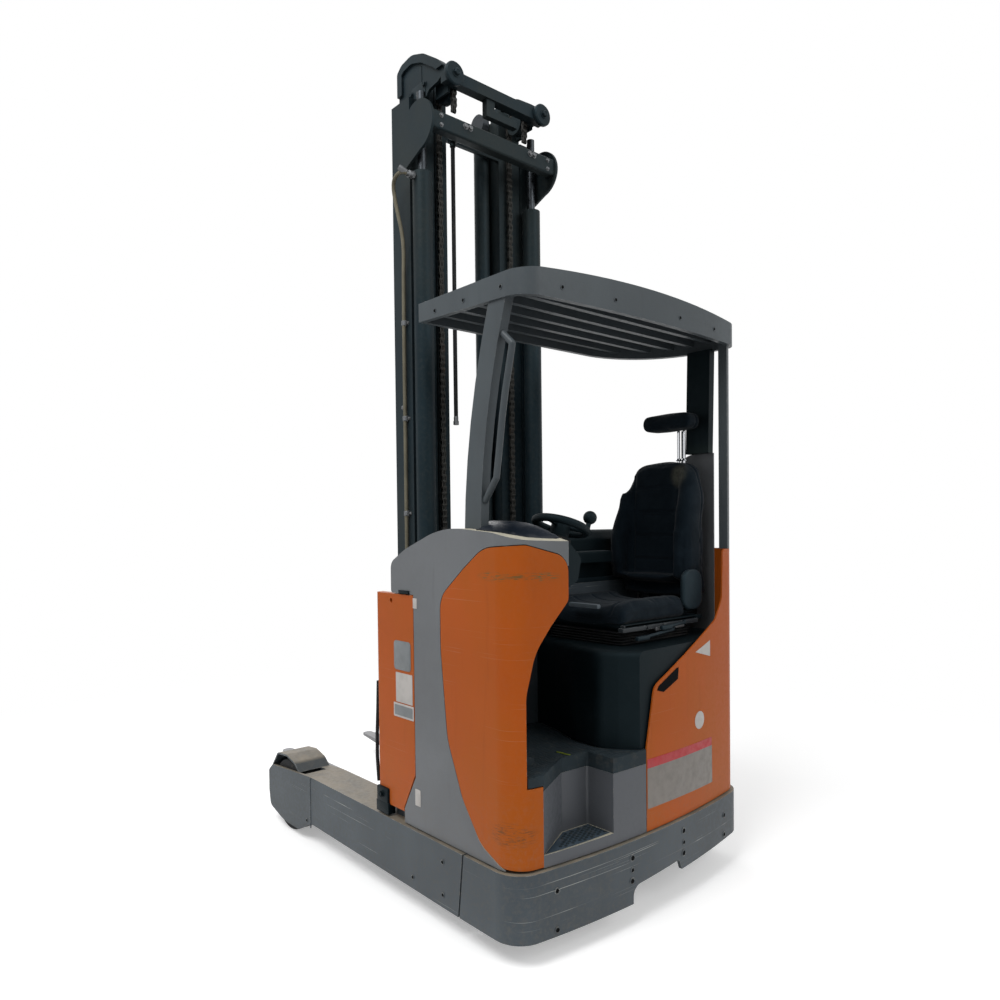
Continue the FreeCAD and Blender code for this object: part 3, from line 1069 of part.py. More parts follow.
def middle_mast():
    """Middle channels with head plates, head bar, cross-members and chain sheaves."""
    y = OUTER_Y - STAGE_STEP
    left = [channel(y, MAST_FOOT_Z + 14, MIDDLE_TOP_Z)]
    left += [head_plate(), *stage_rollers(y)]
    parts = []
    for piece in left:
        parts += both_sides(piece)
    reach = HEAD_PLATE_Y + HEAD_RIM + HEAD_PLATE_T
    bar = box(HEAD_BAR_X0, HEAD_BAR_X1, -reach, reach, HEAD_BAR_Z0, HEAD_BAR_Z1)
    lug_low = HEAD_BAR_Z0 - LUG_DROP
    lug = box(HEAD_BAR_X0 + 8, HEAD_BAR_X1 - 8, LUG_Y - 22, LUG_Y + 22, lug_low, HEAD_BAR_Z0)
    lug_bar = box(HEAD_BAR_X0 + 8, HEAD_BAR_X1 - 8, LUG_Y - 152, LUG_Y + 22, lug_low, lug_low + 32)
    parts += [bar, lug, lug_bar]
    for side in (1, -1):
        axle_y0 = side * (CHAIN_Y + CHAIN_W / 2 + 14)
        sheave_x = CHAIN_X - CHAIN_T / 2 - SHEAVE_R
        cheek = box(HEAD_BAR_X1, sheave_x + 20, min(axle_y0, axle_y0 + side * 10), max(axle_y0, axle_y0 + side * 10),
                    SHEAVE_Z - 30, HEAD_BAR_Z1)
        far = side * (CHAIN_Y - CHAIN_W / 2 - 8)
        axle = cyl_y(sheave_x, SHEAVE_Z, min(far, axle_y0), max(far, axle_y0), 12)
        wheel = cyl_y(sheave_x, SHEAVE_Z, min(side * (CHAIN_Y - CHAIN_W / 2), side * (CHAIN_Y + CHAIN_W / 2)),
                      max(side * (CHAIN_Y - CHAIN_W / 2), side * (CHAIN_Y + CHAIN_W / 2)), SHEAVE_R - RUN)
        parts += [cheek, axle, wheel]
    return join(parts)


def lift_chains():
    """Chains over the head sheaves: long front run and a short rear run down to the outer bar's level."""
    runs = []
    for side in (1, -1):
        y0 = side * CHAIN_Y - CHAIN_W / 2
        y1 = side * CHAIN_Y + CHAIN_W / 2
        x = CHAIN_X
        centre_x = CHAIN_X - CHAIN_T / 2 - SHEAVE_R
        front = box(x - CHAIN_T / 2, x + CHAIN_T / 2, y0, y1, MAST_FOOT_Z + 150, SHEAVE_Z)
        rear_x = centre_x - SHEAVE_R - CHAIN_T / 2
        rear = box(rear_x - CHAIN_T / 2, rear_x + CHAIN_T / 2, y0, y1, BAR_Z1 + 30, SHEAVE_Z)
        arc = cyl_y(centre_x, SHEAVE_Z, y0, y1, SHEAVE_R + CHAIN_T).cut(cyl_y(centre_x, SHEAVE_Z, y0 - 1, y1 + 1, SHEAVE_R))
        arc = arc.common(box(centre_x - 200, centre_x + 200, y0 - 1, y1 + 1, SHEAVE_Z, SHEAVE_Z + 200))
        runs.append(join([front, rear, arc]))
    return Part.makeCompound(runs)


def inner_mast():
    """Inner channels tied by cross-members behind the fork carriage."""
    y = OUTER_Y - 2 * STAGE_STEP
    parts = both_sides(channel(y, MAST_FOOT_Z + 14, INNER_TOP_Z))
    for roller in stage_rollers(y):
        parts += both_sides(roller)
    half = y - RAIL_FLANGE + 2
    for z0, z1 in ((MAST_FOOT_Z + 14, MAST_FOOT_Z + 104), (MIDDLE_BAR_Z, MIDDLE_BAR_Z + 70), (INNER_TOP_Z - 228, INNER_TOP_Z - 158)):
        parts.append(box(MAST_X0 + 2, MAST_X0 + 20, -half, half, z0, z1))
    seat = box(MAST_X0 + 20, TILT_X + FREE_CYL_R, FREE_CYL_Y - FREE_CYL_R, FREE_CYL_Y + FREE_CYL_R,
               FREE_CYL_Z0 - 60, FREE_CYL_Z0)
    return join(parts + [seat])


def free_lift_cylinder():
    tube = cyl(TILT_X, FREE_CYL_Y, FREE_CYL_Z0, FREE_CYL_Z1, FREE_CYL_R)
    tube = tube.cut(cyl(TILT_X, FREE_CYL_Y, FREE_CYL_Z0 + 30, FREE_CYL_Z1 - 40, FREE_ROD_R + 5))
    return tube.cut(cyl(TILT_X, FREE_CYL_Y, FREE_CYL_Z1 - 41, FREE_CYL_Z1 + 1, FREE_ROD_R + RUN))


def free_lift_rod():
    """Rod with its sheave head."""
    z = FREE_CYL_Z1 + 45
    shaft = cyl(TILT_X, FREE_CYL_Y, FREE_CYL_Z0 + 90, z, FREE_ROD_R)
    head = box(TILT_X - 30, TILT_X + 30, FREE_CYL_Y - 26, FREE_CYL_Y + 26, z, z + 21)
    sheave = cyl_y(TILT_X + 6, z + 61, FREE_CYL_Y - 18, FREE_CYL_Y + 18, 45)
    return join([shaft, head, sheave])


# ---------------------------------------------------------------- reach carriage and tilt
def reach_carriage():
    """Side plates with rollers in the arm rails, a rear plate and the reach rod."""
    y0 = CARRIAGE_Y
    y1 = CARRIAGE_Y + CARRIAGE_T
    side = prism_y([(CARRIAGE_X0, CARRIAGE_Z0), (CARRIAGE_X1, CARRIAGE_Z0), (CARRIAGE_X1, 250, 60),
                    (-110, CARRIAGE_Z1, 60), (CARRIAGE_X0, CARRIAGE_Z1)], y0, y1)
    side = side.cut(cyl_y(TILT_X, TILT_Z, y0 - 1, y1 + 1, PIN_R + 6 + PIN_CLEARANCE))
    left = [side]
    mid_z = (RAIL_Z0 + RAIL_Z1) / 2
    roller_y0 = ARM_INNER_Y + 4
    for x in (CARRIAGE_X0 + ROLLER_R, CARRIAGE_X1 - ROLLER_R / 2 + 20):
        left.append(cyl_y(x, mid_z, y1, roller_y0, 24))
        left.append(cyl_y(x, mid_z, roller_y0, roller_y0 + ROLLER_W, ROLLER_R))
    left.append(cyl_y(TILT_FOOT_X, TILT_FOOT_Z + 60, y1, TILT_CYL_Y + 16, PIN_R))
    parts = []
    for piece in left:
        parts += both_sides(piece)
    rear = box(CARRIAGE_X0, CARRIAGE_X0 + 15, -y0, y0, CARRIAGE_Z0, CARRIAGE_Z1)
    shaft = cyl_x(REACH_CYL_Y, REACH_CYL_Z, -985, CARRIAGE_X0, REACH_ROD_R)
    return join(parts + [rear, shaft])


def reach_cylinder():
    """Reach cylinder barrel under the battery tray, hung from the cross-beam."""
    tube = cyl_x(REACH_CYL_Y, REACH_CYL_Z, -1005, -385, REACH_CYL_R)
    tube = tube.cut(cyl_x(REACH_CYL_Y, REACH_CYL_Z, -990, -410, REACH_ROD_R + 6))
    tube = tube.cut(cyl_x(REACH_CYL_Y, REACH_CYL_Z, -411, -384, REACH_ROD_R + RUN))
    lug = box(BULKHEAD_X + 6, BULKHEAD_X + 54, REACH_CYL_Y - 22, REACH_CYL_Y + 22, REACH_CYL_Z + REACH_CYL_R - 6, 215 - RUN)
    return join([tube, lug])


def tilt_line():
    foot = V(TILT_FOOT_X, TILT_CYL_Y, TILT_FOOT_Z + 60)
    eye = V(TILT_EYE_X, TILT_CYL_Y, TILT_EYE_Z)
    return foot, eye, (eye - foot).normalize()


def tilt_barrels():
    foot, eye, along = tilt_line()
    eye_w = 12.0
    ring = cyl_y(foot.x, foot.z, foot.y - eye_w, foot.y + eye_w, TILT_CYL_R + 4)
    barrel = rod(foot + along * 20, foot + along * 190, TILT_CYL_R)
    whole = join([ring, barrel])
    whole = whole.cut(rod(foot + along * 40, foot + along * 170, TILT_ROD_R + 4))
    whole = whole.cut(rod(foot + along * 169, foot + along * 191, TILT_ROD_R + RUN))
    whole = whole.cut(cyl_y(foot.x, foot.z, foot.y - eye_w - 1, foot.y + eye_w + 1, PIN_R + PIN_CLEARANCE))
    return Part.makeCompound(both_sides(whole))


def tilt_rods():
    foot, eye, along = tilt_line()
    eye_w = 12.0
    shaft = rod(foot + along * 80, eye - along * 18, TILT_ROD_R)
    ring = cyl_y(eye.x, eye.z, eye.y - eye_w, eye.y + eye_w, TILT_CYL_R + 4)
    whole = join([ring, shaft])
    whole = whole.cut(cyl_y(eye.x, eye.z, eye.y - eye_w - 1, eye.y + eye_w + 1, PIN_R + 2 * PIN_CLEARANCE))
    return Part.makeCompound(both_sides(whole))


# ---------------------------------------------------------------- fork carriage
def fork_plate():
    """Two carriage bars on side plates with rollers inside the inner channels."""
    back = FORK_FACE_X - FORK_T
    bar_t = 32.0
    low = box(back - bar_t, back, -PLATE_HALF_Y, PLATE_HALF_Y, 170, 262)
    high = box(back - bar_t, back, -PLATE_HALF_Y, PLATE_HALF_Y, 510, 600)
    parts = [low, high]
    inner_y = OUTER_Y - 2 * STAGE_STEP - RAIL_FLANGE
    roller_r = (MAST_X1 - MAST_X0) / 2 - FLANGE_T - ROLLER_GAP
    for side in (1, -1):
        y0 = side * (inner_y - 11)
        y1 = side * (inner_y - 3)
        lo, hi = min(y0, y1), max(y0, y1)
        parts.append(prism_y([(TILT_X - 30, 130), (back - bar_t, 130), (back - bar_t, 610), (TILT_X - 30, 610)], lo, hi))
        for z in (200, 540):
            r0 = side * (inner_y - 5)
            r1 = side * (inner_y + 38)
            parts.append(cyl_y(TILT_X, z, min(r0, r1), max(r0, r1), 16))
            w0 = side * (inner_y + 6)
            parts.append(cyl_y(TILT_X, z, min(w0, r1), max(w0, r1), roller_r))
    return join(parts)


def fork(side):
    """One fork: shank, heel and tapered blade."""
    back = FORK_FACE_X - FORK_T
    tip_x = FORK_FACE_X + FORK_LENGTH
    low = FORK_TOP_Z - FORK_T
    profile = [(back, low, 30), (tip_x - 400, low), (tip_x, FORK_TOP_Z - FORK_TIP_T), (tip_x, FORK_TOP_Z),
               (FORK_FACE_X, FORK_TOP_Z, 12), (FORK_FACE_X, FORK_SHANK_Z), (back, FORK_SHANK_Z)]
    y = side * FORK_Y
    blade = prism_y(profile, y - FORK_W / 2, y + FORK_W / 2)
    half = FORK_W / 2
    plan = prism_z([(back, y - half), (tip_x - 260, y - half, 200), (tip_x, y - FORK_TIP_W / 2, 20),
                    (tip_x, y + FORK_TIP_W / 2, 20), (tip_x - 260, y + half, 200), (back, y + half)],
                   low - 1, FORK_SHANK_Z + 1)
    return blade.common(plan)


# ---------------------------------------------------------------- all nodes
def build():
    nodes = {
        "chassis_skirt": chassis_skirt(),
        "chassis_frame": chassis_frame(),
        "load_arm_left": load_arm(),
        "load_arm_right": mirrored(load_arm()),
        "wheel_hoods": Part.makeCompound(both_sides(wheel_hood())),
        "battery": battery(),
        "battery_covers": Part.makeCompound(both_sides(battery_cover())),
        "corner_panel": corner_panel(),
        "console_hood": console_hood(),
        "rear_panel": rear_panel(),
        "right_wall": right_wall(),
        "cab_liner": cab_liner(),
        "cab_floor": cab_floor(),
        "floor_mat": floor_mat(),
        "dashboard": dashboard(),
        "pedals": pedals(),
        "guard_roof": guard_roof(),
        "guard_ribs": guard_ribs(),
        "pillar_left": pillar_left(),
        "pillar_rear": pillar_rear(),
        "pillar_right": pillar_right(),
        "grab_rail": grab_rail(),
        "seat_base": seat_base(),
        "seat_cushion": seat_cushion(),
        "seat_back": seat_back(),
        "headrest": headrest(),
        "armrest": armrest(),
        "reach_cylinder": reach_cylinder(),
        "steering_wheel": steering_wheel(),
        "drive_unit": drive_unit(),
        "drive_hub": drive_hub(),
        "drive_tyre": tyre(DRIVE_X, DRIVE_Y, DRIVE_R, DRIVE_W, DRIVE_HUB_R),
        "load_hub_left": load_hub(),
        "load_tyre_left": tyre(LOAD_AXLE_X, load_wheel_y(), LOAD_WHEEL_R, LOAD_WHEEL_W, LOAD_HUB_R),
        "load_hub_right": mirrored(load_hub()),
        "load_tyre_right": mirrored(tyre(LOAD_AXLE_X, load_wheel_y(), LOAD_WHEEL_R, LOAD_WHEEL_W, LOAD_HUB_R)),
        "reach_carriage": reach_carriage(),
        "outer_mast": outer_mast(),
        "lift_cylinders": lift_cylinders(),
        "mast_hoses": mast_hoses(),
        "tilt_barrels": tilt_barrels(),
        "tilt_rods": tilt_rods(),
        "middle_mast": middle_mast(),
        "lift_rods": lift_rods(),
        "lift_chains": lift_chains(),
        "inner_mast": inner_mast(),
        "free_lift_cylinder": free_lift_cylinder(),
        "free_lift_rod": free_lift_rod(),
        "fork_plate": fork_plate(),
        "fork_left": fork(1),
        "fork_right": fork(-1),
    }
    return nodes


if __name__ == "__main__":
    os.makedirs("parts", exist_ok=True)
    for name, shape in build().items():
        print(name, len(shape.Solids), "solids, valid", shape.isValid(), round(shape.Volume / 1e6, 2), "dm3")
        shape.exportStep(os.path.join("parts", name + ".step"))
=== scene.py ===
"""Looks of the electric reach truck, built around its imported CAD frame. Metres; +X forward, +Y left, +Z up."""
import json
import math
import random

import bmesh
import bpy
from mathutils import Matrix, Vector
from mathutils.bvhtree import BVHTree


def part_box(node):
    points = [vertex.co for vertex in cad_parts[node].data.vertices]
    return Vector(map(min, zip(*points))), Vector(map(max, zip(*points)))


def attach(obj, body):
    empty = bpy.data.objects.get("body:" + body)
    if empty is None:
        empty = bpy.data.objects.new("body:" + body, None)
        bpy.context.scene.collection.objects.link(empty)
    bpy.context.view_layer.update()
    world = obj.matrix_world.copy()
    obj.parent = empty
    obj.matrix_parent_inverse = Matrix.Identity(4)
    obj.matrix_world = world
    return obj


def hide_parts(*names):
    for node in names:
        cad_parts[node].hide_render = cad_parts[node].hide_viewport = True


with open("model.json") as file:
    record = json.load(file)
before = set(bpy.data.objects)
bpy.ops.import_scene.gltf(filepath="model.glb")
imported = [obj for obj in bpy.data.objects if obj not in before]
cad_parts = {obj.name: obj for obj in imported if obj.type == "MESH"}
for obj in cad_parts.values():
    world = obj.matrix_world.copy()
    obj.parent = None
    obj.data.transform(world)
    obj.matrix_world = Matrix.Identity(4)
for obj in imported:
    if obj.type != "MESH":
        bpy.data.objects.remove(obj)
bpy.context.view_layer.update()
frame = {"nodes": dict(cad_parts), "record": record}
NODES = frame["nodes"]
RNG = random.Random(7)
SLOTS = {row["node"]: row["material_slot"] for row in frame["record"]["subparts"]}
BLUE_SKY = (0.62, 0.88, 1.0)             # sky-blue tint on the highlights of near-black surfaces, a painted sky reflection
DUST_TOP, DUST_LOW = 0.7, 0.02           # floor dust sets in below the first height and is full at the second
THREADS_TO_WAVES = 6.3                   # threads a metre to the wave texture's scale


# ---------------------------------------------------------------- materials
def linear(colour):
    """8-bit screen colour to linear light."""
    parts = [c / 255 for c in colour]
    return tuple(c / 12.92 if c <= 0.04045 else ((c + 0.055) / 1.055) ** 2.4 for c in parts)


class Graph:
    """Short hand for building a node tree."""

    def __init__(self, tree):
        self.tree = tree

    def add(self, kind, inputs=(), **settings):
        node = self.tree.nodes.new("ShaderNode" + kind)
        for key, value in settings.items():
            setattr(node, key, value)
        for key, value in dict(inputs).items():
            if isinstance(value, bpy.types.NodeSocket):
                self.tree.links.new(value, node.inputs[key])
            else:
                node.inputs[key].default_value = value
        return node

    def step(self, value, low, high, to_low=0.0, to_high=1.0):
        """Value mapped from low..high to to_low..to_high, smooth and clamped."""
        return self.add("MapRange", {"Value": value, "From Min": low, "From Max": high, "To Min": to_low,
                                     "To Max": to_high}, interpolation_type="SMOOTHSTEP").outputs["Result"]

    def math(self, operation, a, b=0.0):
        return self.add("Math", {0: a, 1: b}, operation=operation).outputs[0]

    def seen(self):
        """1 for rays that are looked along, 0 for those that only carry light."""
        rays = self.add("LightPath").outputs
        direct = self.math("MAXIMUM", rays["Is Camera Ray"], rays["Is Glossy Ray"])
        return self.math("MAXIMUM", direct, rays["Is Transmission Ray"])


class Nodes(Graph):
    """One material's node tree, around its Principled shader and object coordinates."""

    def __init__(self, name):
        self.material = bpy.data.materials.new(name)
        self.material.use_nodes = True
        super().__init__(self.material.node_tree)
        self.shader = self.tree.nodes["Principled BSDF"]
        self.place = self.add("TexCoord").outputs["Object"]

    def stretched(self, scale):
        return self.add("Mapping", {"Vector": self.place, "Scale": scale}).outputs["Vector"]

    def noise(self, scale, detail=4.0, rough=0.55, stretch=None, distortion=0.0):
        where = self.stretched(stretch) if stretch else self.place
        node = self.add("TexNoise", {"Vector": where, "Scale": scale, "Detail": detail, "Roughness": rough,
                                     "Distortion": distortion})
        return node.outputs["Fac"]

    def mix(self, factor, a, b):
        node = self.add("Mix", {"Factor": factor}, data_type="RGBA")
        for socket, value in ((node.inputs[6], a), (node.inputs[7], b)):
            if isinstance(value, bpy.types.NodeSocket):
                self.tree.links.new(value, socket)
            else:
                socket.default_value = (*value[:3], 1.0)
        return node.outputs[2]

    def height(self):
        return self.add("SeparateXYZ", {"Vector": self.place}).outputs["Z"]

    def inside(self, centre, reach, low=1.0, high=0.75):
        """1 near a place, fading to 0 at its reach along each axis."""
        off = self.add("VectorMath", {0: self.place, 1: centre}, operation="SUBTRACT").outputs["Vector"]
        near = self.add("VectorMath", {0: off, 1: tuple(1 / r for r in reach)}, operation="MULTIPLY").outputs["Vector"]
        far = self.add("VectorMath", {0: near}, operation="LENGTH").outputs["Value"]
        return self.step(far, low, high)

    def upward(self, low, high):
        """1 on faces that look up, fading between two slopes."""
        normal = self.add("NewGeometry").outputs["Normal"]
        return self.step(self.add("SeparateXYZ", {"Vector": normal}).outputs["Z"], low, high)

    def edges(self, radius):
        """1 on sharp edges, 0 on flat faces."""
        bevel = self.add("Bevel", {"Radius": radius}, samples=4).outputs["Normal"]
        flat = self.add("NewGeometry").outputs["Normal"]
        dot = self.add("VectorMath", {0: bevel, 1: flat}, operation="DOT_PRODUCT").outputs["Value"]
        return self.step(dot, 0.97, 0.80)

    def bump(self, height, strength, distance):
        bump = self.add("Bump", {"Height": height, "Strength": strength, "Distance": distance})
        self.tree.links.new(bump.outputs["Normal"], self.shader.inputs["Normal"])

    def finish(self, colour=None, rough=None, **fixed):
        if colour is not None:
            self.tree.links.new(colour, self.shader.inputs["Base Color"])
        if rough is not None:
            self.tree.links.new(rough, self.shader.inputs["Roughness"])
        for key, value in fixed.items():
            self.shader.inputs[key.replace("_", " ")].default_value = value
        return self.material


def paint(name, colour, rough=0.42, wear=0.5, wear_colour=(150, 152, 150), dust=0.3, dust_colour=(120, 112, 100),
          scratches=0.0, tone=0.10, second=None, scuffs=(), gloss=0.30, top_light_and_dust=None, zones=(), tint=(1, 1, 1)):
    """Sprayed metal: tone drift, grime, dust low down, chipped edges, fine scratches and orange peel.

    zones: painted shade and light around a place, (centre, reach, colour, much); scuffs: (centre, reach, colour);
    light on top: painted light on what faces up, partly dust lying there, (much, colour, slope where it starts,
    slope where it is full).
    """
    n = Nodes(name)
    base = linear(colour)
    drift = n.noise(2.3, 3)
    body = n.mix(n.step(drift, 0.3, 0.7), tuple(c * (1 - tone) for c in base), tuple(c * (1 + tone) for c in base))
    if second:
        body = n.mix(n.step(n.noise(1.6, 4, 0.6, stretch=(1.0, 1.0, 0.45)), 0.42, 0.66), body, linear(second))
    streak = n.noise(1.0, 5, 0.65, stretch=(26, 26, 2.2))
    body = n.mix(n.step(streak, 0.55, 0.8, 0.0, 0.35), body, tuple(c * 0.62 for c in base))
    speck = n.noise(60, 6, 0.7)
    low = n.step(n.height(), DUST_TOP, DUST_LOW)
    dusty = n.math("MULTIPLY", n.step(speck, 0.42, 0.75), n.math("ADD", n.math("MULTIPLY", low, dust), 0.05))
    body = n.mix(dusty, body, linear(dust_colour))
    # painted shade and light around given places
    for centre, reach, zone_colour, much in zones:
        body = n.mix(n.math("MULTIPLY", n.inside(centre, reach), much), body, linear(zone_colour))
    # painted light on what faces up, partly dust lying there
    if top_light_and_dust:
        much, top_light_colour, low_slope, high_slope = top_light_and_dust
        patchy = n.step(n.noise(7, 5, 0.7), 0.30, 0.62, 0.55 * much, much)
        body = n.mix(n.math("MULTIPLY", n.upward(low_slope, high_slope), patchy), body, linear(top_light_colour))
    chips = n.noise(38, 5, 0.75)
    worn = n.math("MULTIPLY", n.edges(0.0035), n.step(chips, 0.62 - 0.25 * wear, 0.70))
    if scratches:
        lines = n.noise(1.0, 2, 0.5, stretch=(1.2, 1.2, 230), distortion=0.15)
        patches = n.step(n.noise(3.1, 3), 0.48, 0.62)
        thin = n.math("MULTIPLY", n.step(lines, 0.66, 0.70), patches)
        worn = n.math("MAXIMUM", worn, n.math("MULTIPLY", thin, scratches))
    body = n.mix(n.math("MULTIPLY", worn, min(1.0, 0.4 + wear)), body, linear(wear_colour))
    for centre, reach, rub_colour in scuffs:
        rub = n.noise(1.0, 4, 0.7, stretch=(30, 30, 260), distortion=0.4)
        rub = n.math("MULTIPLY", n.step(rub, 0.50, 0.58), n.inside(centre, reach, 1.0, 0.45))
        body = n.mix(n.math("MULTIPLY", rub, 0.8), body, linear(rub_colour))
    shine = n.math("ADD", n.step(speck, 0.3, 0.8, rough - 0.06, rough + 0.12), n.math("MULTIPLY", dusty, 0.3))
    n.bump(n.noise(420, 2), 0.06, 0.0006)
    return n.finish(body, shine, Metallic=0.0, Specular_IOR_Level=gloss, Specular_Tint=(*tint, 1))


def moulded(name, colour, rough=0.55, grain=900, dust=0.25, gloss=0.26, zones=(), tint=(1, 1, 1)):
    """Grained plastic: dust in the grain, painted light zones, edges lighter from rubbing and a painted highlight."""
    n = Nodes(name)
    base = linear(colour)
    drift = n.noise(5, 4)
    body = n.mix(n.step(drift, 0.35, 0.7), base, tuple(c * 1.5 + 0.002 for c in base))
    # painted light around given places
    for centre, reach, zone_colour, much in zones:
        body = n.mix(n.math("MULTIPLY", n.inside(centre, reach, 1.0, 0.2), much), body, linear(zone_colour))
    # edges lighter: partly rubbing, partly a painted highlight
    body = n.mix(n.math("MULTIPLY", n.edges(0.003), 0.4), body, tuple(c * 2.2 + 0.012 for c in base))
    body = n.mix(n.step(n.noise(22, 6, 0.7), 0.60, 0.82, 0.0, dust), body, linear((100, 98, 90)))
    cells = n.add("TexVoronoi", {"Vector": n.place, "Scale": grain}).outputs["Distance"]
    n.bump(cells, 0.25, 0.0006)
    return n.finish(body, n.step(drift, 0.2, 0.8, rough - 0.08, rough + 0.1), Specular_IOR_Level=gloss,
                    Specular_Tint=(*tint, 1))


def dark(name, colour):
    """Painted shade for the inside of a hole: near black and dull."""
    n = Nodes(name)
    base = linear(colour)
    body = n.mix(n.noise(20, 4), tuple(c * 0.6 for c in base), tuple(c * 1.3 for c in base))
    return n.finish(body, n.step(n.noise(9, 3), 0.3, 0.7, 0.8, 0.95), Specular_IOR_Level=0.08)


def woven(name, colour, thread=900, dust=0.2, patch=None):
    """Woven seat cloth: crossing threads, fuzz, dust and one patch of painted light, (centre, reach, colour)."""
    n = Nodes(name)
    base = linear(colour)
    warp, weft, cross = [
        n.add("TexWave", {"Vector": n.place, "Scale": thread / THREADS_TO_WAVES, "Distortion": 0.6, "Detail": 1.0},
              bands_direction=axis).outputs["Fac"] for axis in "XZY"]
    weave = n.math("MULTIPLY", n.math("ADD", n.math("ADD", warp, weft), cross), 0.33)
    body = n.mix(weave, tuple(c * 0.6 for c in base), tuple(c * 1.7 + 0.002 for c in base))
    body = n.mix(n.step(n.noise(7, 4), 0.45, 0.75, 0.0, 0.4), body, tuple(c * 2.0 + 0.004 for c in base))
    body = n.mix(n.step(n.noise(55, 6, 0.8), 0.6, 0.82, 0.0, dust), body, linear((112, 104, 90)))
    # the patch is painted light, broken up by fine noise
    if patch:
        centre, reach, patch_colour = patch
        patch_speckle = n.step(n.noise(90, 4, 0.7), 0.3, 0.6, 0.6, 1.0)
        lit_patch = n.math("MULTIPLY", n.inside(centre, reach, 1.0, 0.35), patch_speckle)
        body = n.mix(lit_patch, body, linear(patch_colour))
    n.bump(weave, 0.35, 0.0008)
    return n.finish(body, n.step(n.noise(18, 3), 0.3, 0.7, 0.78, 0.95), Sheen_Weight=0.06, Sheen_Roughness=0.5,
                    Specular_IOR_Level=0.12, Specular_Tint=(*BLUE_SKY, 1))


def rubber(name, colour, dust=0.45, rough=0.75):
    """Rubber or matt hose skin: tone drift, dust and a fine grain."""
    n = Nodes(name)
    base = linear(colour)
    drift = n.noise(9, 5, 0.65)
    body = n.mix(n.step(drift, 0.35, 0.75), base, tuple(c * 1.5 + 0.006 for c in base))
    body = n.mix(n.step(n.noise(30, 6, 0.75), 0.48, 0.8, 0.0, dust), body, linear((116, 108, 96)))
    n.bump(n.noise(260, 4), 0.22, 0.0007)
    return n.finish(body, n.step(drift, 0.3, 0.7, rough - 0.08, rough + 0.12), Specular_IOR_Level=0.22)


def bare_steel(name, colour, rough=0.36, rust=0.15, brush=(3, 3, 160)):
    """Rolled or ground steel with brushing and rust freckles."""
    n = Nodes(name)
    base = linear(colour)
    lines = n.noise(1.0, 3, 0.6, stretch=brush)
    body = n.mix(lines, tuple(c * 0.72 for c in base), tuple(min(1, c * 1.25) for c in base))
    body = n.mix(n.step(n.noise(14, 6, 0.75), 0.56, 0.72, 0.0, rust * 2), body, linear((96, 58, 34)))
    n.bump(lines, 0.12, 0.0006)
    return n.finish(body, n.step(lines, 0.3, 0.7, rough - 0.08, rough + 0.14), Metallic=0.85)


def chrome(name):
    """Polished tube with a thin film on it."""
    n = Nodes(name)
    film = n.noise(24, 4)
    body = n.mix(film, linear((196, 198, 202)), linear((226, 228, 232)))
    return n.finish(body, n.step(film, 0.35, 0.7, 0.10, 0.24), Metallic=1.0)


def sticker(name, colour, rough=0.4):
    """Thin plastic label: faded patches and a scuffed surface."""
    n = Nodes(name)
    base = linear(colour)
    body = n.mix(n.step(n.noise(26, 5), 0.4, 0.75), base, tuple(c * 0.84 for c in base))
    body = n.mix(n.step(n.noise(140, 5, 0.8), 0.62, 0.8, 0.0, 0.35), body, linear((120, 112, 100)))
    n.bump(n.noise(300, 2), 0.05, 0.0004)
    return n.finish(body, n.step(n.noise(40, 3), 0.3, 0.7, rough - 0.08, rough + 0.15))


def glass(name):
    """Dark glossy display glass."""
    n = Nodes(name)
    film = n.noise(30, 3)
    body = n.mix(film, linear((12, 18, 20)), linear((22, 32, 34)))
    return n.finish(body, n.step(film, 0.3, 0.7, 0.06, 0.16), Coat_Weight=0.6, Coat_Roughness=0.05)


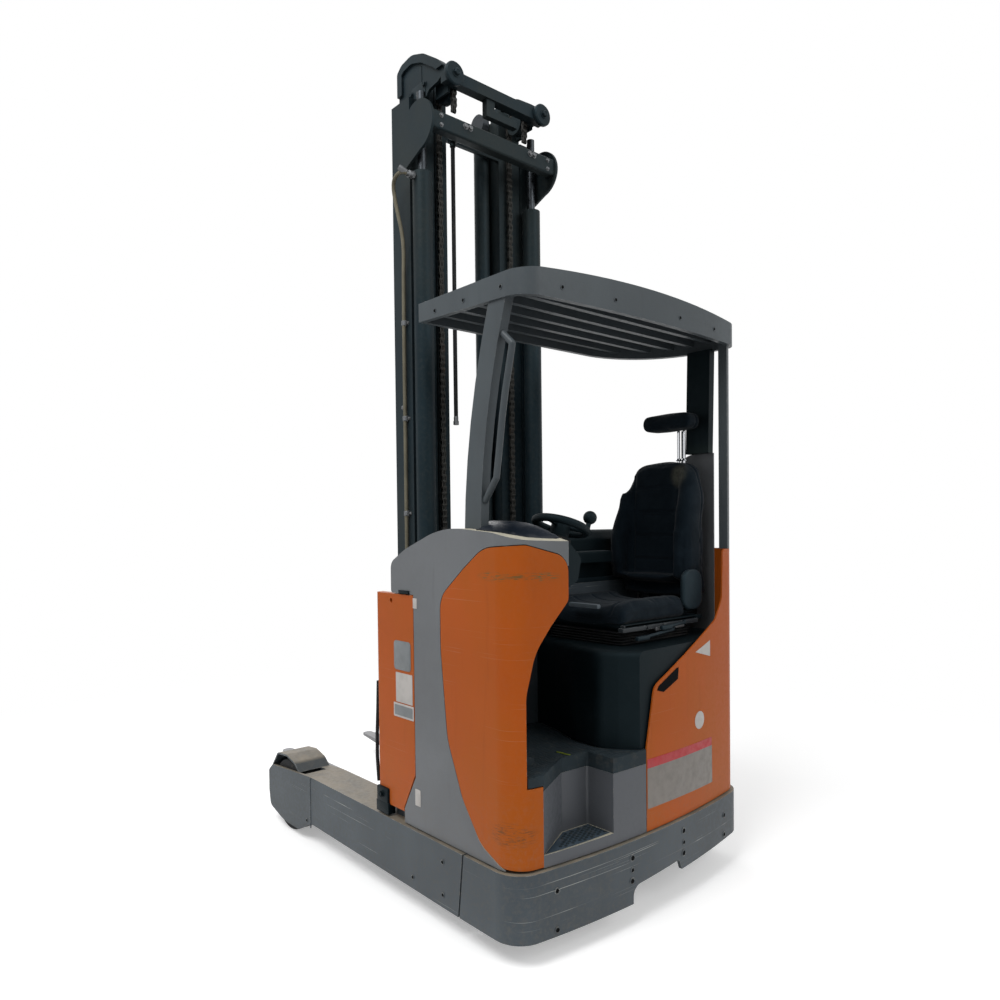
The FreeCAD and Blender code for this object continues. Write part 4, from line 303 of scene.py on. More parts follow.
SCUFFS = [((-1.060, 0.623, 1.233), (0.10, 0.10, 0.020), (84, 84, 52)),
          ((-1.139, 0.572, 1.233), (0.05, 0.09, 0.016), (92, 78, 44)),
          ((-1.156, 0.494, 1.230), (0.05, 0.07, 0.020), (78, 88, 56)),
          ((-1.10, 0.60, 0.42), (0.10, 0.10, 0.05), (96, 66, 40))]
WALL_SHADE = ((-1.05, 0.10, 0.44), (0.40, 0.62, 0.26), (76, 79, 84), 0.85)      # painted shade low on the hood, beside the step
REAR_WALL_LIGHT = ((-1.00, -0.60, 1.56), (0.30, 0.10, 0.20), (60, 70, 66), 0.9)       # painted light on the strip behind the seat
SHOULDER_LIGHT = ((-0.985, -0.440, 1.590), (0.050, 0.09, 0.062), (74, 74, 66))      # painted light on the backrest's shoulder
# chassis_grey, panel_grey and guard_grey get painted light on what faces up, partly dust lying there
MATERIALS = {
    "chassis_grey": paint("chassis_grey", (64, 72, 78), 0.46, wear=0.95, wear_colour=(150, 152, 148), scratches=0.95,
                          dust=0.4, dust_colour=(100, 96, 88), tone=0.16, second=(56, 64, 70),
                          top_light_and_dust=(0.6, (150, 136, 114), 0.75, 0.97)),
    "panel_grey": paint("panel_grey", (99, 102, 105), wear_colour=(152, 152, 146),
                        top_light_and_dust=(0.9, (186, 180, 160), 0.42, 0.80), zones=(WALL_SHADE,)),
    "panel_orange": paint("panel_orange", (166, 78, 21), wear=0.4, wear_colour=(172, 150, 126), scratches=0.22,
                          tone=0.05, second=(160, 80, 14), scuffs=SCUFFS, gloss=0.14),
    "guard_grey": paint("guard_grey", (71, 78, 82), wear=0.45, dust=0.1, second=(65, 71, 75), gloss=0.2,
                        top_light_and_dust=(0.4, (140, 140, 132), 0.75, 0.97)),
    "mast_black": paint("mast_black", (22, 32, 37), 0.46, wear=0.3, wear_colour=(58, 70, 78), dust=0.12, tone=0.2,
                        second=(34, 39, 39), gloss=0.14, tint=BLUE_SKY),
    "battery_steel": paint("battery_steel", (36, 41, 45), 0.5, wear=0.6, dust=0.5),
    "drive_motor": paint("drive_motor", (56, 58, 60), 0.55, wear=0.4, dust=0.6),
    "bright_rod": bare_steel("bright_rod", (58, 62, 66), 0.34, rust=0.05, brush=(60, 60, 60)),
    "steel": bare_steel("steel", (124, 124, 126)),
    "chain_steel": bare_steel("chain_steel", (58, 58, 56), 0.5, rust=0.12, brush=(40, 40, 40)),
    "tyre": rubber("tyre", (26, 27, 29)),
    "cab_black": moulded("cab_black", (5, 12, 15), dust=0.06, gloss=0.14, tint=BLUE_SKY, zones=(REAR_WALL_LIGHT,)),
    "mat_rubber": rubber("mat_rubber", (26, 36, 41), dust=0.2),
    "seat_fabric": woven("seat_fabric", (6, 14, 21), dust=0.08, patch=SHOULDER_LIGHT),
    "hose": rubber("hose", (92, 88, 74), dust=0.25, rough=0.6),
}
HOLE_SHADE = dark("hole_painted_shade", (8, 9, 10))
SHELL_GREY = moulded("shell_grey", (22, 31, 36), 0.5, dust=0.1, gloss=0.18, tint=BLUE_SKY)
LABEL_WHITE = sticker("label_white", (176, 172, 168))
LABEL_GREY = sticker("label_grey", (112, 116, 118))
LABEL_PALE = sticker("label_pale", (114, 109, 103))
STRIPE_RED = sticker("stripe_red", (160, 16, 26))
CHROME = chrome("post_chrome")
MARK_GREEN = sticker("mark_green", (120, 132, 40))
ZINC = bare_steel("zinc_bolt", (104, 106, 108), 0.46, rust=0.3, brush=(30, 30, 30))
TRAY_GREY = moulded("tray_grey", (84, 92, 98), 0.5)
RUBBER_DARK = rubber("rubber_dark", (16, 18, 20), dust=0.15)
TREAD_BLUE = rubber("tread_blue", (46, 58, 68), dust=0.3)
TRIM_BLACK = moulded("trim_black", (8, 15, 24), 0.34, dust=0.06, gloss=0.2)
GLASS = glass("display_glass")


def dress_frame():
    """Every CAD node gets the material of its slot in the record."""
    for name, node in NODES.items():
        for index in range(max(1, len(node.material_slots))):
            if not node.material_slots:
                node.data.materials.append(MATERIALS[SLOTS[name]])
            node.material_slots[index].material = MATERIALS[SLOTS[name]]


# ---------------------------------------------------------------- mesh helpers
def frame_at(centre, axis, up=(0, 0, 1)):
    """Matrix whose local Z is axis, at centre."""
    z = Vector(axis).normalized()
    x = Vector(up).cross(z)
    if x.length < 1e-4:
        x = Vector((1, 0, 0)).cross(z)
    x.normalize()
    y = z.cross(x)
    matrix = Matrix((x, y, z)).transposed().to_4x4()
    matrix.translation = Vector(centre)
    return matrix


class Shape:
    """Gathers many small forms into one mesh piece."""

    def __init__(self):
        self.bm = bmesh.new()

    def skin(self, rings, ends=True):
        """Faces between neighbouring rings of points, and a cap on the first and the last."""
        for low, high in zip(rings, rings[1:]):
            for k in range(len(low)):
                after = (k + 1) % len(low)
                self.bm.faces.new((low[k], low[after], high[after], high[k]))
        if ends:
            self.bm.faces.new(list(reversed(rings[0])))
            self.bm.faces.new(rings[-1])

    def turned(self, profile, place, segments):
        """Rings of points around place's Z for (radius, height) pairs, skinned."""
        angles = [math.tau * k / segments for k in range(segments)]
        self.skin([[self.bm.verts.new(place @ Vector((r * math.cos(a), r * math.sin(a), h))) for a in angles]
                   for r, h in profile])

    def lathe(self, profile, centre, axis, segments=24):
        """Turned form: (radius, height) points around axis."""
        self.turned(profile, frame_at(centre, axis), segments)

    def bolt(self, centre, axis, size=0.008, washer=True):
        """Hexagon head with a chamfered top on a washer; size is half the width across flats."""
        axis = Vector(axis).normalized()
        seat = Vector(centre)
        if washer:
            profile = ((1.55, 0), (1.6, 0.1), (1.55, 0.25), (0.7, 0.26))
            self.lathe([(r * size, h * size) for r, h in profile], seat, axis, 20)
            seat = seat + axis * size * 0.25
        place = frame_at(seat, axis) @ Matrix.Rotation(RNG.random(), 4, "Z")
        profile = ((1.12, 0), (1.155, 0.1), (1.155, 0.75), (0.93, 0.95), (0.55, 0.9), (0.5, 0.8))
        self.turned([(r * size, h * size) for r, h in profile], place, 6)

    def block(self, low, high, bevel=0.003, segments=2):
        """Box with rounded edges between two corners."""
        part = bmesh.new()
        bmesh.ops.create_cube(part, size=1.0)
        size = [max(h - l, 1e-5) for l, h in zip(low, high)]
        middle = [(h + l) / 2 for l, h in zip(low, high)]
        for v in part.verts:
            v.co = Vector([v.co[i] * size[i] + middle[i] for i in range(3)])
        if bevel:
            bmesh.ops.bevel(part, geom=part.edges[:], offset=min(bevel, min(size) * 0.45), segments=segments,
                            affect="EDGES", profile=0.6)
        self.merge(part)

    def merge(self, part, place=None):
        """Takes in another bmesh, placed by a matrix."""
        if place is not None:
            bmesh.ops.transform(part, matrix=place, verts=part.verts)
        scratch = bpy.data.meshes.new("scratch")
        part.to_mesh(scratch)
        part.free()
        self.bm.from_mesh(scratch)
        bpy.data.meshes.remove(scratch)

    def slab(self, outline, low, high, bevel=0.0015, place=None):
        """Plate with a polygon outline, (u, v) points, from height low to high along local Z."""
        part = bmesh.new()
        part.faces.new([part.verts.new((u, v, low)) for u, v in outline])
        thicken(part, (0, 0, high - low))
        if bevel:
            rims = [e for e in part.edges if abs(e.verts[0].co.z - e.verts[1].co.z) < 1e-7]
            bmesh.ops.bevel(part, geom=rims, offset=bevel, segments=2, affect="EDGES", profile=0.5)
        self.merge(part, place)

    def left_plate(self, face, place, corner, thick, bevel):
        """Rounded plate on a left face; place is its span towards the rear, then its span in height."""
        self.slab(rounded(*place, corner), 0, thick, bevel, Matrix.Translation((0, face, 0)) @ LEFT_FACE)

    def tube(self, points, r, sides=10):
        """Round bar through points, with an up reference carried along it."""
        pts = [Vector(p) for p in points]
        rings = []
        normal = None
        for i, p in enumerate(pts):
            t = (pts[min(i + 1, len(pts) - 1)] - pts[max(i - 1, 0)]).normalized()
            if normal is None:
                normal = t.orthogonal().normalized()
            normal = (normal - t * normal.dot(t)).normalized()
            side = t.cross(normal)
            rings.append([self.bm.verts.new(p + (normal * math.cos(math.tau * k / sides)
                                                 + side * math.sin(math.tau * k / sides)) * r) for k in range(sides)])
        self.skin(rings)

    def piece(self, name, slot=None, material=None, body="chassis", smooth_angle=35):
        """Ends the shape as one visible piece; its material is its slot's own if none is given."""
        mesh = bpy.data.meshes.new(name)
        bmesh.ops.recalc_face_normals(self.bm, faces=self.bm.faces)
        self.bm.to_mesh(mesh)
        self.bm.free()
        mesh.materials.append(material or MATERIALS[slot])
        piece = bpy.data.objects.new(name, mesh)
        bpy.context.scene.collection.objects.link(piece)
        shade(mesh, smooth_angle)
        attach(piece, body)
        return piece


def shade(mesh, angle):
    """Smooth faces, with edges sharper than angle kept hard."""
    limit = math.radians(angle)
    bm = bmesh.new()
    bm.from_mesh(mesh)
    for face in bm.faces:
        face.smooth = True
    for edge in bm.edges:
        edge.smooth = len(edge.link_faces) != 2 or edge.calc_face_angle(0.0) < limit
    bm.to_mesh(mesh)
    bm.free()


TREES = {}


def tree(node):
    """Search tree of a CAD node's faces, made once."""
    if node not in TREES:
        mesh = NODES[node].data
        TREES[node] = BVHTree.FromPolygons([v.co.copy() for v in mesh.vertices],
                                           [tuple(p.vertices) for p in mesh.polygons])
    return TREES[node]


def on_surface(node, start, direction):
    """Point and outward normal where a ray meets a CAD node."""
    hit, normal, _, _ = tree(node).ray_cast(Vector(start), Vector(direction))
    if hit is None:
        raise ValueError(f"no surface of {node} from {start}")
    return hit, (normal if normal.dot(Vector(direction)) < 0 else -normal)


def part_cut(part, point, normal):
    bmesh.ops.bisect_plane(part, geom=part.verts[:] + part.edges[:] + part.faces[:], plane_co=point, plane_no=normal)


def distance_to(p, a, b):
    """Distance in plan from p to the segment a to b."""
    flat = Vector((p.x, p.y, 0))
    along = b - a
    t = max(0.0, min(1.0, (flat - a).dot(along) / along.length_squared))
    return (flat - a - along * t).length


def thicken(part, move):
    """Turns a sheet of faces into a plate by a copy moved by a vector."""
    made = bmesh.ops.extrude_face_region(part, geom=part.faces[:])
    bmesh.ops.translate(part, verts=[g for g in made["geom"] if isinstance(g, bmesh.types.BMVert)], vec=move)
    bmesh.ops.recalc_face_normals(part, faces=part.faces)


def rear_sheet(name, outline, thickness, material, cells=24):
    """Thin plate that follows the rear panel: outline is (y, z) points seen from behind."""
    ys = [y for y, _ in outline]
    part = bmesh.new()
    part.faces.new([part.verts.new((0, y, z)) for y, z in outline])
    for i in range(1, cells):
        part_cut(part, (0, min(ys) + (max(ys) - min(ys)) * i / cells, 0), (0, 1, 0))
    for v in part.verts:
        hit, _ = on_surface("rear_panel", (-3, v.co.y, v.co.z), (1, 0, 0))
        v.co.x = hit.x - thickness
    thicken(part, (thickness * 1.3, 0, 0))
    shape = Shape()
    shape.merge(part)
    return shape.piece(name, material=material)


def rounded(u0, u1, v0, v1, r, steps=5):
    """Rectangle outline with rounded corners."""
    points = []
    for cu, cv, start in ((u1 - r, v1 - r, 0), (u0 + r, v1 - r, 90), (u0 + r, v0 + r, 180), (u1 - r, v0 + r, 270)):
        for k in range(steps + 1):
            a = math.radians(start + 90 * k / steps)
            points.append((cu + r * math.cos(a), cv + r * math.sin(a)))
    return points


def disc(u, v, r, steps=20):
    return [(u + r * math.cos(math.tau * k / steps), v + r * math.sin(math.tau * k / steps)) for k in range(steps)]


LEFT_FACE = Matrix(((-1, 0, 0, 0), (0, 0, 1, 0), (0, 1, 0, 0), (0, 0, 0, 1)))    # (u, v, w) to (-u, w, v), facing +Y


# ---------------------------------------------------------------- soft seat
VOXEL, QUICK_VOXEL = 0.006, 0.012
PAD_SHRINK = 0.004                       # drawn in before it is blown up
PAD_PRESSURE = 4.0
PAD_STEPS = 20


def inflate(name, node, cap, rounds=6):
    """Padded copy of a CAD solid: remeshed and blown up as cloth with capped movement."""
    mesh = NODES[node].data.copy()
    mesh.name = name
    piece = bpy.data.objects.new(name, mesh)
    bpy.context.scene.collection.objects.link(piece)
    bpy.context.view_layer.objects.active = piece
    bm = bmesh.new()
    bm.from_mesh(mesh)
    bmesh.ops.remove_doubles(bm, verts=bm.verts, dist=1e-5)
    bm.normal_update()
    moves = [v.normal.copy() for v in bm.verts]
    for v, n in zip(bm.verts, moves):
        v.co -= n * PAD_SHRINK
    bm.to_mesh(mesh)
    bm.free()
    remesh = piece.modifiers.new("remesh", "REMESH")
    remesh.mode = "VOXEL"
    remesh.voxel_size = VOXEL
    apply_all(piece)
    smooth_mesh(piece.data, rounds)
    rest = [v.co.copy() for v in piece.data.vertices]
    cloth = piece.modifiers.new("cloth", "CLOTH")
    settings = cloth.settings
    settings.quality = 4
    settings.use_pressure = True
    settings.uniform_pressure_force = PAD_PRESSURE
    settings.effector_weights.gravity = 0
    settings.tension_stiffness = 12
    settings.bending_stiffness = 2
    cloth.collision_settings.use_collision = False
    scene = bpy.context.scene
    for step in range(1, PAD_STEPS + 1):
        scene.frame_set(step)
    puffed = piece.evaluated_get(bpy.context.evaluated_depsgraph_get()).to_mesh()
    after = [v.co.copy() for v in puffed.vertices]
    piece.modifiers.remove(cloth)
    scene.frame_set(1)
    for v, a, b in zip(piece.data.vertices, rest, after):
        move = b - a
        if move.length > cap:
            move *= cap / move.length
        v.co = a + move
    return piece


def apply_all(piece):
    """Turns a piece's modifiers into mesh."""
    graph = bpy.context.evaluated_depsgraph_get()
    made = bpy.data.meshes.new_from_object(piece.evaluated_get(graph))
    piece.modifiers.clear()
    old = piece.data
    piece.data = made
    bpy.data.meshes.remove(old)


def smooth_mesh(mesh, rounds, low=-1e3, high=1e3):
    """Evens out the points between two heights."""
    bm = bmesh.new()
    bm.from_mesh(mesh)
    chosen = [v for v in bm.verts if low < v.co.z < high]
    for _ in range(rounds):
        bmesh.ops.smooth_vert(bm, verts=chosen, factor=0.5, use_axis_x=True, use_axis_y=True, use_axis_z=True)
    bm.to_mesh(mesh)
    bm.free()


def groove(piece, distance, width, depth):
    """Presses a seam: distance(co) gives how far a point is from the seam, or None where it doesn't run."""
    mesh = piece.data
    normals = [v.normal.copy() for v in mesh.vertices]
    for v, n in zip(mesh.vertices, normals):
        d = distance(v.co)
        if d is not None and d < width:
            v.co -= n * depth * (1 - d / width) ** 1.5
    mesh.update()


def soft_finish(piece, node):
    """Subdivides a pad once, dresses it in the seat's cloth and puts it in its CAD node's place."""
    subdivision = piece.modifiers.new("subdivision", "SUBSURF")
    subdivision.levels = subdivision.render_levels = 1
    apply_all(piece)
    piece.data.materials.clear()
    piece.data.materials.append(MATERIALS["seat_fabric"])
    for face in piece.data.polygons:
        face.use_smooth = True
    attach(piece, "chassis")
    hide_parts(node)


SEAT_MIDDLE = -0.864
SEAM_MIDDLE = -0.868
SEAM_HALF = 0.118                        # half the width of the sewn panel at the height SEAM_WAIST_Z
SEAM_WAIST_Z = 1.35
BACK_SMOOTH = (1.36, 1.60)               # heights between which the backrest's sides are evened out
SHOULDERS = [(1.33, 1.0), (1.38, 0.95), (1.42, 0.89), (1.46, 0.85), (1.49, 0.95), (1.52, 1.08), (1.57, 1.20),
             (1.62, 1.16), (1.70, 1.05)]     # (height, share of the width kept) on the side away from the door


def shoulder(z):
    """Share of its width that the backrest keeps at height z."""
    for (z0, w0), (z1, w1) in zip(SHOULDERS, SHOULDERS[1:]):
        if z0 <= z < z1:
            return w0 + (w1 - w0) * (z - z0) / (z1 - z0)
    return SHOULDERS[0][1] if z < SHOULDERS[0][0] else SHOULDERS[-1][1]


def seat():
    """Cushion, backrest and headrest with sewn channels."""
    low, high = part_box("seat_cushion")
    cushion = inflate("seat_cushion_pad", "seat_cushion", 0.010)
    middle_x = (low.x + high.x) / 2
    half = (high.x - low.x) / 2
    for v in cushion.data.vertices:          # dished seat with raised side rolls and a rounded front
        if v.co.z > low.z + 0.02:
            across = abs(v.co.x - middle_x) / half
            dish = 0.022 * (1 - min(1, across / 0.62) ** 4)
            front = max(0.0, (v.co.y - (high.y - 0.13)) / 0.13)
            v.co.z -= dish * (1 - front * 0.6) + 0.030 * front ** 2
    cushion.data.update()

    def cushion_seam(co):
        if co.z < low.z + 0.03:
            return None
        roll = abs(abs(co.x - middle_x) - half * 0.66)
        cross = min(abs(co.y - y) for y in (high.y - 0.105, high.y - 0.215, high.y - 0.325))
        inside = abs(co.x - middle_x) < half * 0.66
        return min(roll, cross if inside else 1.0)

    groove(cushion, cushion_seam, 0.010, 0.0055)
    soft_finish(cushion, "seat_cushion")

    low_b, high_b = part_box("seat_back")
    back = inflate("seat_back_pad", "seat_back", 0.009, rounds=14)
    face_y = high_b.y - 0.062
    for v in back.data.vertices:             # sides run in evenly towards round shoulders
        off = v.co.x - SEAT_MIDDLE
        kept = shoulder(v.co.z) if off > 0 else 0.85 + 0.12 * min(1.0, max(0.0, (v.co.z - 1.40) / 0.2))
        v.co.x = SEAT_MIDDLE + off * kept
    smooth_mesh(back.data, 60, *BACK_SMOOTH)

    def back_seam(co):
        if co.y < face_y - 0.02:
            return abs(co.y - (low_b.y + 0.045)) if co.y < low_b.y + 0.07 else None
        channel = min(abs(co.z - z) for z in (1.245, 1.345, 1.445, 1.545))
        half_here = SEAM_HALF + 0.02 * (SEAM_WAIST_Z - co.z)
        edge = abs(abs(co.x - SEAM_MIDDLE) - half_here)
        inside = abs(co.x - SEAM_MIDDLE) < half_here
        return min(channel if inside and co.z < 1.6 else 1.0, edge if 1.13 < co.z < 1.6 else 1.0)

    groove(back, back_seam, 0.010, 0.006)
    soft_finish(back, "seat_back")

    rest = inflate("headrest_pad", "headrest", 0.006)
    low_h, high_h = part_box("headrest")
    groove(rest, lambda co: abs(co.y - (low_h.y + high_h.y) / 2 + 0.012), 0.007, 0.004)
    soft_finish(rest, "headrest")


POST_X, POST_Y = -0.932, -0.551          # headrest post


def seat_fittings():
    """Bellows, rails, clips and levers under the cushion, the recliner's cover and the headrest's posts."""
    low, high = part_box("seat_cushion")
    bellows = Shape()
    x0, x1 = low.x + 0.03, high.x - 0.03
    y0, y1 = low.y - 0.04, high.y - 0.028
    folds = 5
    bottom, top = 0.9455, low.z - 0.030
    rings = []
    for i in range(folds * 2 + 1):
        z = bottom + (top - bottom) * i / (folds * 2)
        grow = 0.009 if i % 2 else -0.004
        outline = rounded(x0 - grow, x1 + grow, y0 - grow, y1 + grow, 0.03)
        rings.append([bellows.bm.verts.new((u, v, z)) for u, v in outline])
    bellows.skin(rings, ends=False)
    bellows.piece("seat_bellows", "mat_rubber", RUBBER_DARK, smooth_angle=50)
    rails = Shape()
    for x in (low.x - 0.004, high.x - 0.022):
        rails.block((x, y0 - 0.01, low.z - 0.028), (x + 0.026, y1 + 0.03, low.z - 0.012), 0.002)
        rails.block((x + 0.004, y0, low.z - 0.012), (x + 0.022, y1 + 0.02, low.z - 0.002), 0.002)
    for y in (-0.30, -0.20, -0.10):
        rails.bolt((low.x - 0.0045, y, low.z - 0.02), (-1, 0, 0), 0.006)
    rails.piece("seat_rails", "steel", MATERIALS["battery_steel"])
    clips = Shape()
    for y in (-0.29, -0.17):
        clips.block((low.x - 0.012, y - 0.028, low.z - 0.036), (low.x - 0.004, y + 0.028, low.z - 0.022), 0.002)
    clips.piece("seat_rail_clips", "steel", ZINC)
    shell = Shape()
    shell.slab(rounded(-0.065, 0.060, -0.085, 0.075, 0.045), 0, 0.024, 0.010,
               Matrix(((0, 0, -1, -1.064), (1, 0, 0, -0.395), (0, -1, 0, 1.125), (0, 0, 0, 1))))
    shell.block((-0.6495, -0.56, 1.1446), (-0.640, 0.20, 1.166), 0.003)      # strip on the bulkhead's top
    shell.piece("seat_recliner_cover", "cab_black", SHELL_GREY, smooth_angle=50)
    levers = Shape()
    x = low.x - 0.010
    levers.tube([(x, -0.25, 0.992), (x - 0.014, -0.23, 0.99), (x - 0.018, -0.14, 0.984), (x - 0.018, -0.06, 0.978)],
                0.006)
    levers.block((x - 0.026, -0.075, 0.968), (x - 0.010, -0.005, 0.984), 0.005)
    levers.tube([(x, -0.32, 1.012), (x - 0.016, -0.30, 1.010), (x - 0.018, -0.20, 1.004)], 0.006)
    levers.block((x - 0.026, -0.215, 0.995), (x - 0.010, -0.150, 1.011), 0.005)
    levers.piece("seat_levers", "steel", SHELL_GREY)
    post = Shape()
    head_low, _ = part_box("headrest")
    for x in (POST_X - 0.006, POST_X + 0.022):
        post.tube([(x, POST_Y, 1.585), (x, POST_Y, head_low.z + 0.004)], 0.0065, 16)
        post.lathe([(0.012, 0), (0.013, 0.004), (0.010, 0.010), (0.007, 0.011)], (x, POST_Y, 1.6605), (0, 0, 1))
    post.piece("headrest_posts", "bright_rod", CHROME)


# ---------------------------------------------------------------- mast
def link_outline(pitch, waist, radius, steps=6):
    """Figure-eight plate of a leaf chain, pins at 0 and pitch along u."""
    points = []
    for k in range(steps + 1):
        a = math.radians(90 + 180 * k / steps)
        points.append((radius * math.cos(a), radius * math.sin(a)))
    points.append((pitch / 2, -waist))
    for k in range(steps + 1):
        a = math.radians(-90 + 180 * k / steps)
        points.append((pitch + radius * math.cos(a), radius * math.sin(a)))
    points.append((pitch / 2, waist))
    return points


def leaf_chains():
    """Two leaf chains of laced plates: up the front, half round the head sheaves and down to their anchors."""
    low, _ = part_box("lift_chains")
    pitch = 0.0254
    radius = 0.0078
    sheave_r = 0.052
    chain_x = -0.236
    centre = Vector((chain_x - sheave_r, 0, 3.210))
    rear_low = 3.100
    for side, label in ((1, "left"), (-1, "right")):
        foot_z = low.z + 0.012
        length_front = centre.z - foot_z
        arc = math.pi * sheave_r
        length_rear = centre.z - rear_low
        total = length_front + arc + length_rear
        count = int(total / pitch)

        def at(s):
            if s < length_front:
                return Vector((chain_x, 0, foot_z + s))
            if s < length_front + arc:
                a = (s - length_front) / sheave_r
                return Vector((centre.x + sheave_r * math.cos(a), 0, centre.z + sheave_r * math.sin(a)))
            return Vector((centre.x - sheave_r, 0, centre.z - (s - length_front - arc)))

        path = [at(i * pitch) for i in range(count + 1)]
        chain = Shape()
        plate = link_outline(pitch, radius * 0.72, radius, 4)
        y_mid = side * 0.200
        for i, (a, b) in enumerate(zip(path, path[1:])):
            along = (b - a).normalized()
            across = Vector((0, 1, 0))
            normal = across.cross(along)
            place = Matrix((along, normal, across)).transposed().to_4x4()
            place.translation = Vector((a.x, y_mid, a.z))
            layers = (-0.0115, -0.0035, 0.0045) if i % 2 else (-0.0075, 0.0005, 0.0085)
            for layer in layers:
                chain.slab(plate, layer, layer + 0.0036, 0, place)
            chain.lathe([(0.0030, -0.0135), (0.0034, -0.0128), (0.0034, 0.0138), (0.0030, 0.0145)],
                        (a.x, y_mid, a.z), (0, 1, 0), 8)
        chain.block((chain_x - 0.008, y_mid - 0.015, low.z), (chain_x + 0.008, y_mid + 0.015, low.z + 0.02), 0.002)
        piece = chain.piece("lift_chain_" + label, "chain_steel", body="mast_middle", smooth_angle=30)
        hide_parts("lift_chains")


def curve_cord(name, points, diameter, material):
    """Hose along its points, leaving the mast at the first of them."""
    data = bpy.data.curves.new(name, "CURVE")
    data.dimensions = "3D"
    spline = data.splines.new("NURBS")
    spline.points.add(len(points) - 1)
    for target, p in zip(spline.points, points):
        target.co = (*p, 1.0)
    spline.order_u = 3
    spline.use_endpoint_u = True
    spline.resolution_u = 12
    data.bevel_depth = diameter / 2
    data.bevel_resolution = 4
    data.use_fill_caps = True
    data.materials.append(material)
    cord = bpy.data.objects.new(name, data)
    bpy.context.scene.collection.objects.link(cord)
    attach(cord, "mast_outer")
    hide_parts("mast_hoses")


PORT_X, PORT_Y = -0.263, 0.3515          # hose port of the left lift cylinder
CLIP_X = -0.176                          # hose clips on the channel
SPARE_X, SPARE_Y = -0.275, 0.158         # the hose that hangs behind the mast


def hoses():
    """Feed hose of the left lift cylinder, clipped down the channel, and the spare hose behind the mast."""
    port_z = 2.836
    fittings = Shape()
    fittings.lathe([(0.012, 0), (0.012, 0.012), (0.015, 0.014), (0.015, 0.028), (0.011, 0.030), (0.010, 0.040)],
                   (PORT_X, PORT_Y, port_z), (0, 1, 0))
    fittings.bolt((PORT_X, PORT_Y + 0.0015, port_z), (0, 1, 0), 0.014, washer=False)
    ferrule = Shape()
    ferrule.lathe([(0.0085, 0), (0.0115, 0.003), (0.0118, 0.030), (0.0095, 0.040)],
                  (PORT_X, 0.386, port_z + 0.003), (0.35, 0.8, 0.5))
    for z in (2.25, 1.85, 1.45, 1.05):
        fittings.block((-0.190, 0.3435, z - 0.012), (-0.162, 0.3535, z + 0.012), 0.002)
        fittings.lathe([(0.0105, -0.010), (0.0120, -0.008), (0.0120, 0.008), (0.0105, 0.010)],
                       (CLIP_X, PORT_Y, z), (0, 0, 1))
        fittings.bolt((-0.195, 0.3435, z), (0, 1, 0), 0.005)
    clips = fittings.piece("hose_clips", "steel", ZINC, body="mast_outer")
    sleeve = ferrule.piece("hose_ferrule", "steel", ZINC, body="mast_outer")
    route = [(PORT_X, 0.390, port_z), (PORT_X, 0.400, port_z + 0.004), (-0.215, 0.402, port_z + 0.012),
             (-0.168, 0.396, port_z - 0.012), (-0.168, 0.376, port_z - 0.110), (-0.196, 0.3600, port_z - 0.250),
             (CLIP_X, 0.3530, port_z - 0.420), (CLIP_X, 0.3530, 1.6), (CLIP_X, 0.3530, 0.62)]
    curve_cord("lift_feed_hose", route, 0.016, MATERIALS["hose"])
    end = Shape()
    end.lathe([(0.0105, 0), (0.0120, 0.002), (0.0120, 0.016), (0.0100, 0.018), (0.0100, 0.034), (0.0090, 0.036)],
              (SPARE_X, SPARE_Y, 1.828), (0, 0, 1))
    tip = end.piece("spare_hose_fitting", "steel", ZINC, body="mast_outer")
    clamp = Shape()
    clamp.block((-0.3345, 0.141, 3.026), (-0.262, 0.175, 3.060), 0.003)
    clamp.bolt((-0.310, SPARE_Y, 3.027), (0, 0, -1), 0.006)
    clamp.lathe([(0.012, 0), (0.013, 0.004), (0.012, 0.018), (0.010, 0.020)], (SPARE_X, SPARE_Y, 3.008), (0, 0, 1))
    clamp.piece("spare_hose_clamp", "mast_black", body="mast_outer")
    hang = [(SPARE_X, SPARE_Y, 3.025), (SPARE_X, SPARE_Y, 2.6), (-0.2748, 0.1585, 2.2), (SPARE_X, SPARE_Y, 1.858)]
    curve_cord("spare_hose", hang, 0.018, RUBBER_DARK)


CROSS_BAR_X = -0.3852                    # rear face of the outer mast's cross-bar
HEAD_BAR_Y, HEAD_BAR_Z = 0.247, 3.226    # ends of the middle mast's head bar


